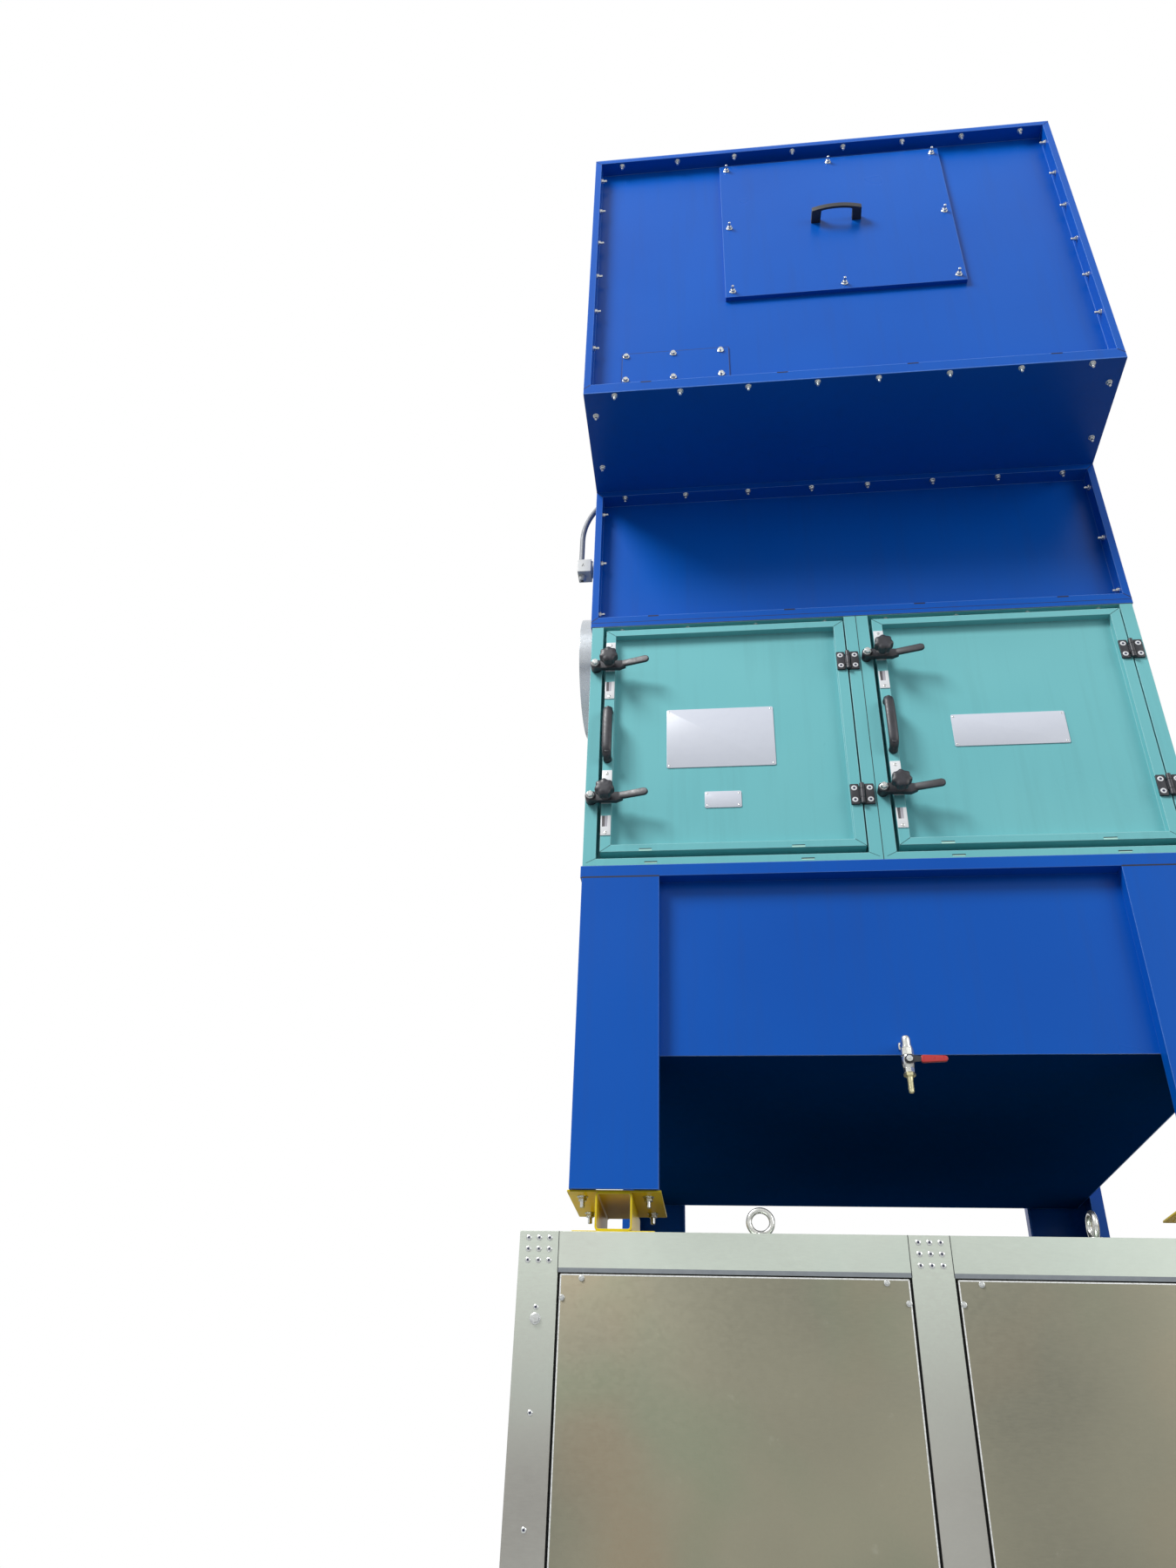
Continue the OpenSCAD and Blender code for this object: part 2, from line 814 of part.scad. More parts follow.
// The right-hand panel, with the opening for the duct
module neck_side() {
    difference() {
        side_pan(blue_half, front_y + pan_t, back_y - pan_t, neck_z, neck_h);
        translate([blue_half - pan_t - 1, front_y + duct_y, duct_z]) rotate([0, 90, 0])
            cylinder(r = duct_r, h = pan_t + 2, $fn = 96);
    }
}

module neck_left_side() {
    color("royalblue") mirror([1, 0, 0]) neck_side();
}

module neck_right_side() {
    color("royalblue") neck_side();
}

module neck_rear() {
    color("royalblue") rear_pan(blue_half, back_y, neck_z, neck_h, rim_w, rim_w);
}

// A ring about the duct's axis on the right-hand side, which starts at x
module duct_ring(x, outer, l) {
    translate([x, front_y + duct_y, duct_z]) rotate([0, 90, 0]) difference() {
        cylinder(r = outer, h = l, $fn = 96);
        translate([0, 0, -1]) cylinder(r = duct_r, h = l + 2, $fn = 96);
    }
}

flange_x = blue_half - rim_d;

module duct_spigots() {
    color("silver") both_sides()
        duct_ring(flange_x + sheet_t, duct_r + duct_wall, rim_d - sheet_t + duct_l);
}

// The flat rings that fix the spigots to the side sheets
module duct_flanges() {
    color("silver") both_sides() duct_ring(flange_x, duct_r + duct_flange, sheet_t);
}

// The conduit between the junction box and the rim of the neck, cut off at the wall
module conduit(y, low_z) {
    x = -blue_half - conduit_out;
    bend_h = sqrt(pow(conduit_bend + conduit_r, 2) - pow(conduit_bend - conduit_out, 2));
    bend_z = plenum_z - conduit_gap - bend_h;
    translate([x, y, low_z]) cylinder(r = conduit_r, h = bend_z - low_z);
    intersection() {
        translate([x + conduit_bend, y, bend_z]) rotate([90, 0, 0]) rotate([0, 0, 90])
            rotate_extrude(angle = 90) translate([conduit_bend, 0]) circle(r = conduit_r);
        span([x - 2 * conduit_r, y - 2 * conduit_r, bend_z], [-blue_half, y + 2 * conduit_r, plenum_z]);
    }
}

module junction_box() {
    box_y = front_y + jbox_y;
    box_z = neck_z + jbox_z;
    mid_y = box_y + jbox_d / 2;
    color("lightgray") {
        span([-blue_half - jbox_w, box_y, box_z], [-blue_half, box_y + jbox_d, box_z + jbox_h]);
        translate([-blue_half - gland_out, mid_y, box_z - gland_l]) cylinder(r = gland_r, h = gland_l + 1);
        conduit(mid_y, box_z + jbox_h - 1);
    }
}

// Plenum

module plenum_floor() {
    color("midnightblue") translate([0, 0, plenum_z]) linear_extrude(sheet_t) difference() {
        translate([-blue_half, plenum_front_y]) square([2 * blue_half, unit_d + overhang]);
        translate([-wall_in, front_y + pan_t]) square([2 * wall_in, unit_d - 2 * pan_t]);
    }
}

wall_z = plenum_z + sheet_t;
wall_h = plenum_h - 2 * sheet_t;

module plenum_front() {
    color("royalblue") translate([-blue_half, plenum_front_y, wall_z])
        pan(2 * blue_half, wall_h, low_rim_h, rim_w - sheet_t);
}

module plenum_side() {
    side_pan(blue_half, plenum_front_y + pan_t, back_y - pan_t, wall_z, wall_h);
}

module plenum_left_side() {
    color("royalblue") mirror([1, 0, 0]) plenum_side();
}

module plenum_right_side() {
    color("royalblue") plenum_side();
}

// The same panel as at the front, turned round
module plenum_rear() {
    color("royalblue") rear_pan(blue_half, back_y, wall_z, wall_h, low_rim_h, rim_w - sheet_t);
}

module plenum_roof() {
    color("royalblue")
        span([-blue_half, plenum_front_y, roof_z - sheet_t], [blue_half, back_y, roof_z]);
}

pan_y = plenum_front_y + rim_d;
cover_z = roof_z - cover_drop - cover_s;

module inspection_cover() {
    color("royalblue")
        span([cover_x - cover_s / 2, pan_y - cover_t, cover_z],
             [cover_x + cover_s / 2, pan_y, cover_z + cover_s]);
}

// A bridge handle whose grip is a flat arch between two broad legs
module cover_handle() {
    half = bridge_l / 2;
    arch_r = (half * half + bridge_rise * bridge_rise) / (2 * bridge_rise);
    color("dimgray") translate([cover_x, pan_y - cover_t, cover_z + (cover_s - bridge_h) / 2])
        linear_extrude(bridge_h) difference() {
            intersection() {
                translate([-half, -bridge_out]) square([bridge_l, bridge_out]);
                translate([0, arch_r - bridge_out]) circle(r = arch_r, $fn = 180);
            }
            intersection() {
                translate([bridge_leg - half, -bridge_out])
                    square([bridge_l - 2 * bridge_leg, bridge_out + 1]);
                translate([0, arch_r - bridge_out]) circle(r = arch_r - bridge_t, $fn = 180);
            }
        }
}

module blanking_plate() {
    x0 = blank_left - blue_half;
    z0 = plenum_z + blank_up;
    color("royalblue") span([x0, pan_y - sheet_t, z0], [x0 + blank_w, pan_y, z0 + blank_h]);
}

housing_base();
housing_floor();
housing_posts();
housing_rails();
housing_panels();
housing_roof();
lifting_eyes();
feet();
legs();
tank_band();
tank_ends();
tank_sides();
tank_floor();
drain_valve();
drain_lever();
left_filter_frame();
right_filter_frame();
filter_side_panels();
filter_rear_panel();
left_door();
right_door();
frame_hinges();
left_door_hinges();
right_door_hinges();
clamp_spacers();
left_door_clamps();
right_door_clamps();
left_wear_plates();
right_wear_plates();
left_door_handle();
right_door_handle();
left_door_signs();
right_door_sign();
neck_front();
neck_left_side();
neck_right_side();
neck_rear();
duct_spigots();
duct_flanges();
junction_box();
plenum_floor();
plenum_front();
plenum_left_side();
plenum_right_side();
plenum_rear();
plenum_roof();
inspection_cover();
cover_handle();
blanking_plate();
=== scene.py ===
"""Finishes the box-cased air separator: materials, fasteners, fittings, floor, light and camera."""
import json
import math

import bmesh
import bpy
from mathutils import Matrix, Vector

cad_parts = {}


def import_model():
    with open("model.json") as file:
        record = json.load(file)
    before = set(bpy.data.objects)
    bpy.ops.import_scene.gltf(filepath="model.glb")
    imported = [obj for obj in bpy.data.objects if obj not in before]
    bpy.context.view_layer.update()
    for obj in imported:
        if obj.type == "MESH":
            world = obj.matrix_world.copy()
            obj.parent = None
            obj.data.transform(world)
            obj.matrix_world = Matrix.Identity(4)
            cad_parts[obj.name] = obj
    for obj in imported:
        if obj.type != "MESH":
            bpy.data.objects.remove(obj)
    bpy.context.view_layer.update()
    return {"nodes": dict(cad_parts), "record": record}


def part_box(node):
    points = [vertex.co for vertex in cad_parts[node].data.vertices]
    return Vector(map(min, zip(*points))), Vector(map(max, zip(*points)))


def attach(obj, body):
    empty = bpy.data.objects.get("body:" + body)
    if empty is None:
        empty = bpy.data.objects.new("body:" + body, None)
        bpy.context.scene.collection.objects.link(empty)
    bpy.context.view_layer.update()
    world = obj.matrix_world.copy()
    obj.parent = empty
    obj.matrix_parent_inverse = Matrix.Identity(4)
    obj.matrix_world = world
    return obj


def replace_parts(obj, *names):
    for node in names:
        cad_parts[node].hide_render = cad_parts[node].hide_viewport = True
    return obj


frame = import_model()

MM = 0.001
QUARTER = math.radians(90)
UP = Vector((0, 0, 1))
DOWN = Vector((0, 0, -1))
FRONT = Vector((0, -1, 0))
BACK = Vector((0, 1, 0))
LEFT = Vector((-1, 0, 0))
RIGHT = Vector((1, 0, 0))

# Main places of the casing, from the frame
frame_lo, frame_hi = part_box("left_filter_frame")
neck_lo, neck_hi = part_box("neck_front")
plenum_lo, plenum_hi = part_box("plenum_front")
floor_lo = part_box("plenum_floor")[0]
roof_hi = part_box("plenum_roof")[1]
cover_lo, cover_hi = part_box("inspection_cover")
blank_lo, blank_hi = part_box("blanking_plate")
post_lo, post_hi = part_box("housing_posts")
wall_lo, wall_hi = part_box("housing_panels")
tank_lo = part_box("tank_ends")[0]
filter_z = frame_lo.z
plenum_lo_z = floor_lo.z
front_y = frame_lo.y
half_w = -frame_lo.x

# Sheets and profiles
SHEET = 3 * MM
RIM_W = 20 * MM
POST = 84 * MM
RAIL = 82 * MM
LEG_W = 195 * MM

# The feet's top plates, in millimetres
FOOT_W = 205
FOOT_D = 237


# Materials

class Shader:
    """A node material: a Principled shader and the nodes that feed it."""

    def __init__(self, name):
        self.material = bpy.data.materials.new(name)
        self.material.use_nodes = True
        self.tree = self.material.node_tree
        self.bsdf = self.tree.nodes["Principled BSDF"]
        self.place = self.add("ShaderNodeTexCoord").outputs["Object"]

    def add(self, kind, settings=None, **inputs):
        node = self.tree.nodes.new(kind)
        for key, value in (settings or {}).items():
            setattr(node, key, value)
        for key, value in inputs.items():
            self.feed(node.inputs[key.replace("_", " ")], value)
        return node

    def feed(self, socket, value):
        if isinstance(value, bpy.types.NodeSocket):
            self.tree.links.new(value, socket)
        else:
            socket.default_value = value

    def noise(self, scale, detail=2.0, rough=0.5, stretch=None):
        vector = self.place
        if stretch:
            vector = self.add("ShaderNodeMapping", Vector=vector, Scale=stretch).outputs[0]
        return self.add("ShaderNodeTexNoise", Vector=vector, Scale=scale, Detail=detail,
                        Roughness=rough).outputs["Fac"]

    def ramp(self, value, low, high, lo_out=0.0, hi_out=1.0):
        node = self.add("ShaderNodeMapRange", Value=value)
        node.inputs["From Min"].default_value = low
        node.inputs["From Max"].default_value = high
        node.inputs["To Min"].default_value = lo_out
        node.inputs["To Max"].default_value = hi_out
        return node.outputs["Result"]

    def mix(self, factor, a, b):
        node = self.tree.nodes.new("ShaderNodeMix")
        node.data_type = "RGBA"
        self.feed(node.inputs[0], factor)
        self.feed(node.inputs[6], a)
        self.feed(node.inputs[7], b)
        return node.outputs[2]

    def math(self, operation, a, b):
        node = self.add("ShaderNodeMath", {"operation": operation})
        self.feed(node.inputs[0], a)
        self.feed(node.inputs[1], b)
        return node.outputs[0]

    def bump(self, height, strength, distance, normal=None):
        node = self.add("ShaderNodeBump", Height=height, Strength=strength, Distance=distance)
        if normal:
            self.feed(node.inputs["Normal"], normal)
        return node.outputs["Normal"]

    def rounded(self, radius):
        return self.add("ShaderNodeBevel", {"samples": 6}, Radius=radius).outputs["Normal"]

    def edges(self, radius):
        """1 along sharp outer edges and 0 on flat faces."""
        soft = self.rounded(radius)
        true = self.add("ShaderNodeNewGeometry").outputs["True Normal"]
        meet = self.add("ShaderNodeVectorMath", {"operation": "DOT_PRODUCT"})
        self.feed(meet.inputs[0], soft)
        self.feed(meet.inputs[1], true)
        return self.ramp(meet.outputs["Value"], 0.995, 0.80)

    def upward(self):
        normal = self.add("ShaderNodeNewGeometry").outputs["Normal"]
        return self.add("ShaderNodeSeparateXYZ", Vector=normal).outputs["Z"]

    def finish(self, **inputs):
        for key, value in inputs.items():
            self.feed(self.bsdf.inputs[key.replace("_", " ")], value)
        return self.material


def rgb(r, g, b):
    """A colour written as it shows on a screen, 0 to 255, turned into light."""
    def linear(v):
        v = v / 255
        return v / 12.92 if v <= 0.04045 else ((v + 0.055) / 1.055) ** 2.4
    return (linear(r), linear(g), linear(b), 1.0)


def painted(name, colour, deep, pale, rough=0.3, dust=0.12, spec=0.2):
    """Powder coat on folded sheet: a fine skin, slight waves, a painted highlight along sharp edges and dust
    on ledges.
    """
    s = Shader(name)
    tone = s.mix(s.ramp(s.noise(0.9, 3.0, 0.55), 0.3, 0.7), deep, colour)
    # Sharp edges are mixed toward the pale colour: a painted highlight.
    tone = s.mix(s.math("MULTIPLY", s.edges(0.003), 0.7), tone, pale)
    ledge = s.math("MULTIPLY", s.ramp(s.upward(), 0.55, 0.95), s.ramp(s.noise(7.0, 4.0), 0.25, 0.7))
    tone = s.mix(s.math("MULTIPLY", ledge, dust), tone, rgb(150, 146, 136))
    streak = s.noise(5.0, 3.0, 0.6, (6.0, 6.0, 0.35))
    tone = s.mix(s.ramp(streak, 0.5, 0.85, 0.0, 0.10), tone, rgb(52, 56, 60))
    skin = s.bump(s.noise(900.0, 1.0), 0.035, 0.0004, s.rounded(0.0016))
    waves = s.bump(s.noise(2.2, 2.0), 0.12, 0.006, skin)
    shine = s.ramp(s.noise(3.0, 3.0), 0.2, 0.8, rough * 0.85, rough * 1.3)
    s.bsdf.inputs["Specular IOR Level"].default_value = spec
    return s.finish(Base_Color=tone, Roughness=shine, Normal=waves, IOR=1.5)


def galvanised(name, light, dark, warm, cool, rough=0.36, tint=0.6, top_highlight=None):
    """Zinc on rolled sheet: soft clouds of two tints that are painted reflections of the surroundings, fine
    rolling marks, faint spangle and bloom.
    """
    s = Shader(name)
    tone = s.mix(s.ramp(s.noise(1.3), 0.38, 0.62), dark, light)
    # Warm and cool clouds stand for the surroundings mirrored in the zinc: painted reflection.
    tone = s.mix(s.ramp(s.noise(2.1, 2.0, 0.5, (1.0, 1.0, 0.8)), 0.48, 0.68, 0.0, tint), tone, warm)
    tone = s.mix(s.ramp(s.noise(2.9), 0.5, 0.7, 0.0, tint), tone, cool)
    # The zinc turns lighter toward the top of the posts: a painted highlight.
    if top_highlight:
        height = s.add("ShaderNodeSeparateXYZ", Vector=s.place).outputs["Z"]
        tone = s.mix(s.ramp(height, 1.7, 2.1, 0.0, 0.85), tone, top_highlight)
    marks = s.noise(55.0, 3.0, 0.65, (1.0, 1.0, 5.0))
    tone = s.mix(s.ramp(marks, 0.35, 0.75, 0.0, 0.25), tone, light)
    cells = s.add("ShaderNodeTexVoronoi", {"feature": "F1"}, Vector=s.place, Scale=110.0)
    cell = s.add("ShaderNodeSeparateColor", Color=cells.outputs["Color"]).outputs[0]
    tone = s.mix(s.ramp(cell, 0.0, 1.0, 0.0, 0.12), tone, dark)
    bloom = s.noise(24.0, 5.0, 0.7)
    tone = s.mix(s.ramp(bloom, 0.66, 0.86, 0.0, 0.2), tone, rgb(206, 208, 200))
    shine = s.math("ADD", s.ramp(cell, 0.0, 1.0, rough * 0.9, rough * 1.1),
                   s.ramp(bloom, 0.6, 0.8, 0.0, 0.12))
    skin = s.bump(marks, 0.06, 0.0006, s.rounded(0.0015))
    waves = s.bump(s.noise(1.6), 0.15, 0.008, skin)
    return s.finish(Base_Color=tone, Metallic=0.8, Roughness=shine, Normal=waves)


def plated(name, colour, rough=0.24, stain=rgb(120, 116, 104)):
    """Bright zinc or nickel plating on small turned pieces."""
    s = Shader(name)
    spot = s.noise(260.0, 3.0, 0.6)
    tone = s.mix(s.ramp(spot, 0.45, 0.8, 0.0, 0.5), colour, stain)
    shine = s.ramp(s.noise(500.0, 2.0), 0.3, 0.7, rough * 0.8, rough * 1.4)
    skin = s.bump(s.noise(1400.0, 2.0), 0.06, 0.0002, s.rounded(0.0006))
    return s.finish(Base_Color=tone, Metallic=0.95, Roughness=shine, Normal=skin)


def moulded(name, colour, rough=0.42, worn=rgb(92, 88, 90), spec=0.5):
    """Moulded plastic with a fine spark-eroded grain and soft clouds of a second tone."""
    s = Shader(name)
    cloud = s.noise(45.0, 3.0, 0.6)
    tone = s.mix(s.ramp(cloud, 0.45, 0.85, 0.0, 0.25), colour, worn)
    shine = s.ramp(s.noise(120.0, 3.0), 0.3, 0.7, rough * 0.85, rough * 1.2)
    skin = s.bump(s.noise(2200.0, 1.0), 0.12, 0.0002, s.rounded(0.0010))
    s.bsdf.inputs["Specular IOR Level"].default_value = spec
    return s.finish(Base_Color=tone, Roughness=shine, Normal=skin)


def lined(name, colour, other=rgb(12, 14, 18)):
    """The dark inside of a narrow gap, which is painted shade, or the lip beside one, with a painted
    highlight or painted shade.
    """
    s = Shader(name)
    tone = s.mix(s.noise(60.0), colour, other)
    return s.finish(Base_Color=tone, Roughness=0.7)


# In each painted finish below, the last colour is its painted highlight along sharp edges.
BLUE = painted("blue_powder_coat", rgb(0, 88, 186), rgb(0, 78, 172), rgb(120, 165, 235))
# A darker, matt copy of the blue paint for the tank's floor: painted shade on the underside.
SHADED_UNDERSIDE_BLUE = painted("blue_underside_painted_shade", rgb(0, 56, 120), rgb(0, 48, 106), rgb(40, 76, 140), 0.5, 0.0, 0.0)
TEAL = painted("teal_powder_coat", rgb(122, 194, 197), rgb(108, 182, 188), rgb(180, 226, 226))
YELLOW = painted("yellow_paint", rgb(228, 200, 8), rgb(206, 176, 4), rgb(240, 226, 130), spec=0.06)
FRAME_ZINC = galvanised("galvanised_post_zinc", rgb(176, 176, 168), rgb(152, 150, 144), rgb(168, 158, 150),
                        rgb(160, 168, 160), top_highlight=rgb(204, 214, 202))
RAIL_ZINC = galvanised("galvanised_rail_zinc", rgb(208, 218, 206), rgb(186, 194, 184), rgb(192, 190, 182),
                       rgb(190, 204, 194))
PANEL_ZINC = galvanised("galvanised_panel_zinc", rgb(142, 139, 120), rgb(118, 117, 103),
                        rgb(146, 126, 102), rgb(120, 132, 110), 0.42)
DUCT_ZINC = galvanised("galvanised_duct_zinc", rgb(205, 211, 216), rgb(180, 187, 192), rgb(190, 190, 186),
                       rgb(186, 198, 206), 0.28, 0.4)
# Bright zinc strips on the panels' rounded edges: a painted highlight.
PANEL_EDGE_HIGHLIGHT = plated("panel_edge_painted_highlight", rgb(226, 228, 226), 0.3)
ZINC = plated("zinc_plating", rgb(200, 203, 202))
NICKEL = plated("nickel_plating", rgb(206, 207, 202), 0.2)
BRASSY = plated("yellow_chromate", rgb(206, 200, 160), 0.3)
BLACK = moulded("black_nylon", rgb(33, 34, 40), worn=rgb(84, 86, 98))
WHITE = moulded("white_nylon", rgb(226, 228, 230), 0.35, rgb(205, 206, 208))
GREY = moulded("grey_abs", rgb(196, 198, 198), 0.4, rgb(176, 176, 172))
CONDUIT = moulded("grey_pvc", rgb(128, 132, 138), 0.45, rgb(110, 112, 116))
RED = moulded("red_vinyl", rgb(178, 40, 42), 0.3, rgb(206, 92, 88))
PLATE = moulded("white_plate_enamel", rgb(204, 208, 218), 0.35, rgb(192, 196, 208))
INK = moulded("dark_ink", rgb(40, 44, 70), 0.5)
# Two greys for the pockets in the wear plates: painted shade, deeper and paler.
DEEP_RECESS_SHADE = moulded("recess_deep_painted_shade", rgb(96, 92, 96), 0.3, rgb(140, 138, 140))
PALE_RECESS_SHADE = moulded("recess_pale_painted_shade", rgb(176, 174, 182), 0.3, rgb(200, 198, 204))
BLUE_SEAM = lined("blue_seam", rgb(4, 26, 84))
TEAL_SEAM = lined("teal_seam", rgb(44, 98, 100))
BLUE_GAP = lined("blue_shadow_gap", rgb(4, 16, 50))
TEAL_GAP = lined("teal_shadow_gap", rgb(20, 52, 56))
TEAL_LIP = lined("teal_lit_lip", rgb(176, 226, 214), rgb(160, 212, 204))
# Darker strips on the rails beside the wall panels: painted shade.
RAIL_LIP = lined("rail_shadow_lip", rgb(140, 146, 150), rgb(120, 126, 132))
DARK_GAP = lined("dark_shadow_gap", rgb(20, 24, 26))

FINISH = {
    "blue_paint": BLUE, "teal_paint": TEAL, "yellow_paint": YELLOW, "galvanised_frame": FRAME_ZINC,
    "galvanised_sheet": PANEL_ZINC, "zinc_plated": ZINC, "nickel_plated": NICKEL, "black_plastic": BLACK,
    "white_plastic": WHITE, "grey_plastic": GREY, "red_plastic": RED, "plain_plate": PLATE,
}
for part in frame["record"]["subparts"]:
    obj = frame["nodes"][part["node"]]
    finish = FINISH[part["material_slot"]]
    if not obj.material_slots:
        obj.data.materials.append(finish)
    for held in obj.material_slots:
        held.material = finish
for name in ("duct_spigots", "duct_flanges"):
    frame["nodes"][name].material_slots[0].material = DUCT_ZINC
# The tank's floor gets the darker copy of the blue paint as painted shade.
frame["nodes"]["tank_floor"].material_slots[0].material = SHADED_UNDERSIDE_BLUE
frame["nodes"]["housing_rails"].material_slots[0].material = RAIL_ZINC


# Mesh tools

def box_into(bm, low, high, bevel=0.0):
    """Adds a block with eased edges between two corners."""
    low = Vector(low)
    high = Vector(high)
    turn = Matrix.Translation((low + high) / 2) @ Matrix.Diagonal((*(high - low), 1.0))
    made = bmesh.ops.create_cube(bm, size=1.0, matrix=turn)
    if bevel:
        edges = {e for v in made["verts"] for e in v.link_edges}
        bmesh.ops.bevel(bm, geom=list(edges), offset=bevel, segments=2, profile=0.6, affect="EDGES")


def skin_into(bm, rings):
    """Joins rings of as many points each, closes both ends and returns the last face."""
    for low, high in zip(rings, rings[1:]):
        for i in range(len(low)):
            j = (i + 1) % len(low)
            bm.faces.new((low[i], low[j], high[j], high[i]))
    bm.faces.new(list(reversed(rings[0])))
    return bm.faces.new(rings[-1])


def disc_into(bm, profile, place, u=0.0, v=0.0, sides=24, spin=0.0, wave=None):
    """Adds a turned piece, (radius, height) pairs from its foot up, whose axis stands at (u, v)."""
    rings = []
    for radius, height in profile:
        ring = []
        for i in range(sides):
            a = spin + math.tau * i / sides
            r = radius * (wave(a) if wave else 1.0)
            ring.append(bm.verts.new(place @ Vector((u + r * math.cos(a), v + r * math.sin(a), height))))
        rings.append(ring)
    skin_into(bm, rings)


def turned_into(bm, profile, at, axis, sides=20, spin=0.0):
    """Adds a turned piece about an axis from a point."""
    turn = Matrix.Translation(at) @ Vector(axis).to_track_quat("Z", "Y").to_matrix().to_4x4()
    disc_into(bm, profile, turn, 0.0, 0.0, sides, spin)


def piece(name, bm, body, material, crease=35.0):
    """Turns a mesh into a piece of the object that rides on a body."""
    bmesh.ops.recalc_face_normals(bm, faces=bm.faces)
    mesh = bpy.data.meshes.new(name)
    bm.to_mesh(mesh)
    bm.free()
    mesh.polygons.foreach_set("use_smooth", [True] * len(mesh.polygons))
    mesh.set_sharp_from_angle(angle=math.radians(crease))
    mesh.materials.append(material)
    obj = bpy.data.objects.new(name, mesh)
    bpy.context.scene.collection.objects.link(obj)
    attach(obj, body)
    return obj


# Fasteners

def hex_bolt_into(bm, at, axis, flats=13.0, head=5.5, washer=9.0, washer_t=1.6, stub=0.0, spin=0.3):
    """A hexagon head on a washer; a stub makes it a nut on a stud's end. Sizes in millimetres."""
    at = Vector(at)
    axis = Vector(axis)
    corner = flats / 2 / math.cos(math.pi / 6) * MM
    base = washer_t * MM
    top = base + head * MM
    turned_into(bm, [(washer * MM, 0.0), (washer * MM, base * 0.8), (washer * MM * 0.95, base)], at, axis, 20)
    turned_into(bm, [(corner, base), (corner, top - 0.8 * MM), (corner * 0.88, top)], at, axis, 6, spin)
    if stub:
        turned_into(bm, [(flats * 0.3 * MM, top), (flats * 0.3 * MM, top + (stub - 1) * MM),
                         (flats * 0.22 * MM, top + stub * MM)], at, axis, 12)


def rivet_into(bm, at, axis, radius=6.0, height=2.0):
    """The flange of a blind rivet; its dark core is a piece of its own."""
    r = radius * MM
    turned_into(bm, [(r, 0.0), (r * 0.96, height * 0.45 * MM), (r * 0.72, height * 0.9 * MM),
                     (r * 0.42, height * MM)], at, axis, 14)


def rivet_core_into(bm, at, axis, radius=2.5, height=2.3):
    """The dark end of a blind rivet's pin."""
    turned_into(bm, [(radius * MM, 0.0), (radius * MM, height * MM)], at, axis, 10)


def screw_into(bm, at, axis, radius, height):
    """A flanged hexagon drilling screw."""
    flange = [(radius * MM, 0.0), (radius * MM, 1.1 * MM), (radius * 0.75 * MM, 1.6 * MM)]
    turned_into(bm, flange, at, axis, 18)
    turned_into(bm, [(radius * 0.68 * MM, 1.4 * MM), (radius * 0.68 * MM, (height - 0.5) * MM),
                     (radius * 0.58 * MM, height * MM)], at, axis, 6, 0.2)


# Sizes of the larger fasteners, and places of fasteners, in millimetres
FRAME_NUT = {"flats": 10.0, "head": 4.0, "washer": 7.0, "stub": 2.0}
COVER_STUD = {"flats": 13.0, "head": 6.5, "washer": 10.0, "washer_t": 2.0, "stub": 13.0}
PLATE_BOLT = {"flats": 13.0, "head": 6.0, "washer": 10.0, "washer_t": 2.0}
FOOT_NUT = {"flats": 17.0, "head": 8.0, "washer": 12.5, "washer_t": 2.2, "stub": 14.0}
POST_BOLT = {"flats": 17.0, "head": 6.0, "washer": 11.5, "washer_t": 1.6}
FLANGE_BOLT_X = [mm * MM for mm in (-664, -474, -280, -85, 85, 280, 474, 664)]
COVER_REACH = (340, 336)
FOOT_BOLT_REACH = (72.5, 77.5)
RIVET_STEP = 22.4
RIVET_MARGIN = 14
POST_RIVET_DROPS = (150, 343, 538, 950, 1350, 1750)
POST_BOLT_DROP = 172
PANEL_SCREWS = ((51, 11), (11, 49))
SCREW_R = 6.0
HIGH_HEAD = 4.5
# At its sides and back the housing's fasteners lie almost flush
LOW_HEAD = 2.2


def plenum_bolts():
    """Nuts on the flange bolts inside the plenum's front rims and under its floor."""
    bm = bmesh.new()
    inner = plenum_hi.x - RIM_W
    for k in range(6):
        z = roof_hi.z - (93 + 180 * k) * MM
        for s in (-1, 1):
            hex_bolt_into(bm, (s * inner, plenum_lo.y + 20 * MM, z), (-s, 0, 0), stub=11.0, spin=k)
    for x in FLANGE_BOLT_X:
        hex_bolt_into(bm, (x, plenum_lo.y + 14 * MM, roof_hi.z - RIM_W), DOWN, stub=12.0, spin=x * 9)
        hex_bolt_into(bm, (x, plenum_lo.y + 12 * MM, floor_lo.z), DOWN, stub=9.0, spin=x * 7)
    for s in (-1, 1):
        for back in (80, 277):
            hex_bolt_into(bm, (s * 725 * MM, plenum_lo.y + back * MM, floor_lo.z), DOWN, stub=9.0)
    piece("plenum_flange_bolts", bm, "casing", ZINC)


def neck_bolts():
    """Nuts inside the neck's rims, and small ones on the bolts of the teal frames."""
    bm = bmesh.new()
    inner = neck_hi.x - RIM_W
    for x in FLANGE_BOLT_X:
        hex_bolt_into(bm, (x, neck_lo.y + 10 * MM, neck_hi.z - RIM_W), DOWN, stub=10.0, spin=x * 5)
        hex_bolt_into(bm, (x, front_y + 16 * MM, frame_hi.z - SHEET), DOWN, **FRAME_NUT, spin=x)
    for drop in (79, 287, 491):
        for s in (-1, 1):
            hex_bolt_into(bm, (s * inner, neck_lo.y + 20 * MM, neck_hi.z - drop * MM), (-s, 0, 0), stub=10.0)
    piece("neck_flange_bolts", bm, "casing", ZINC)


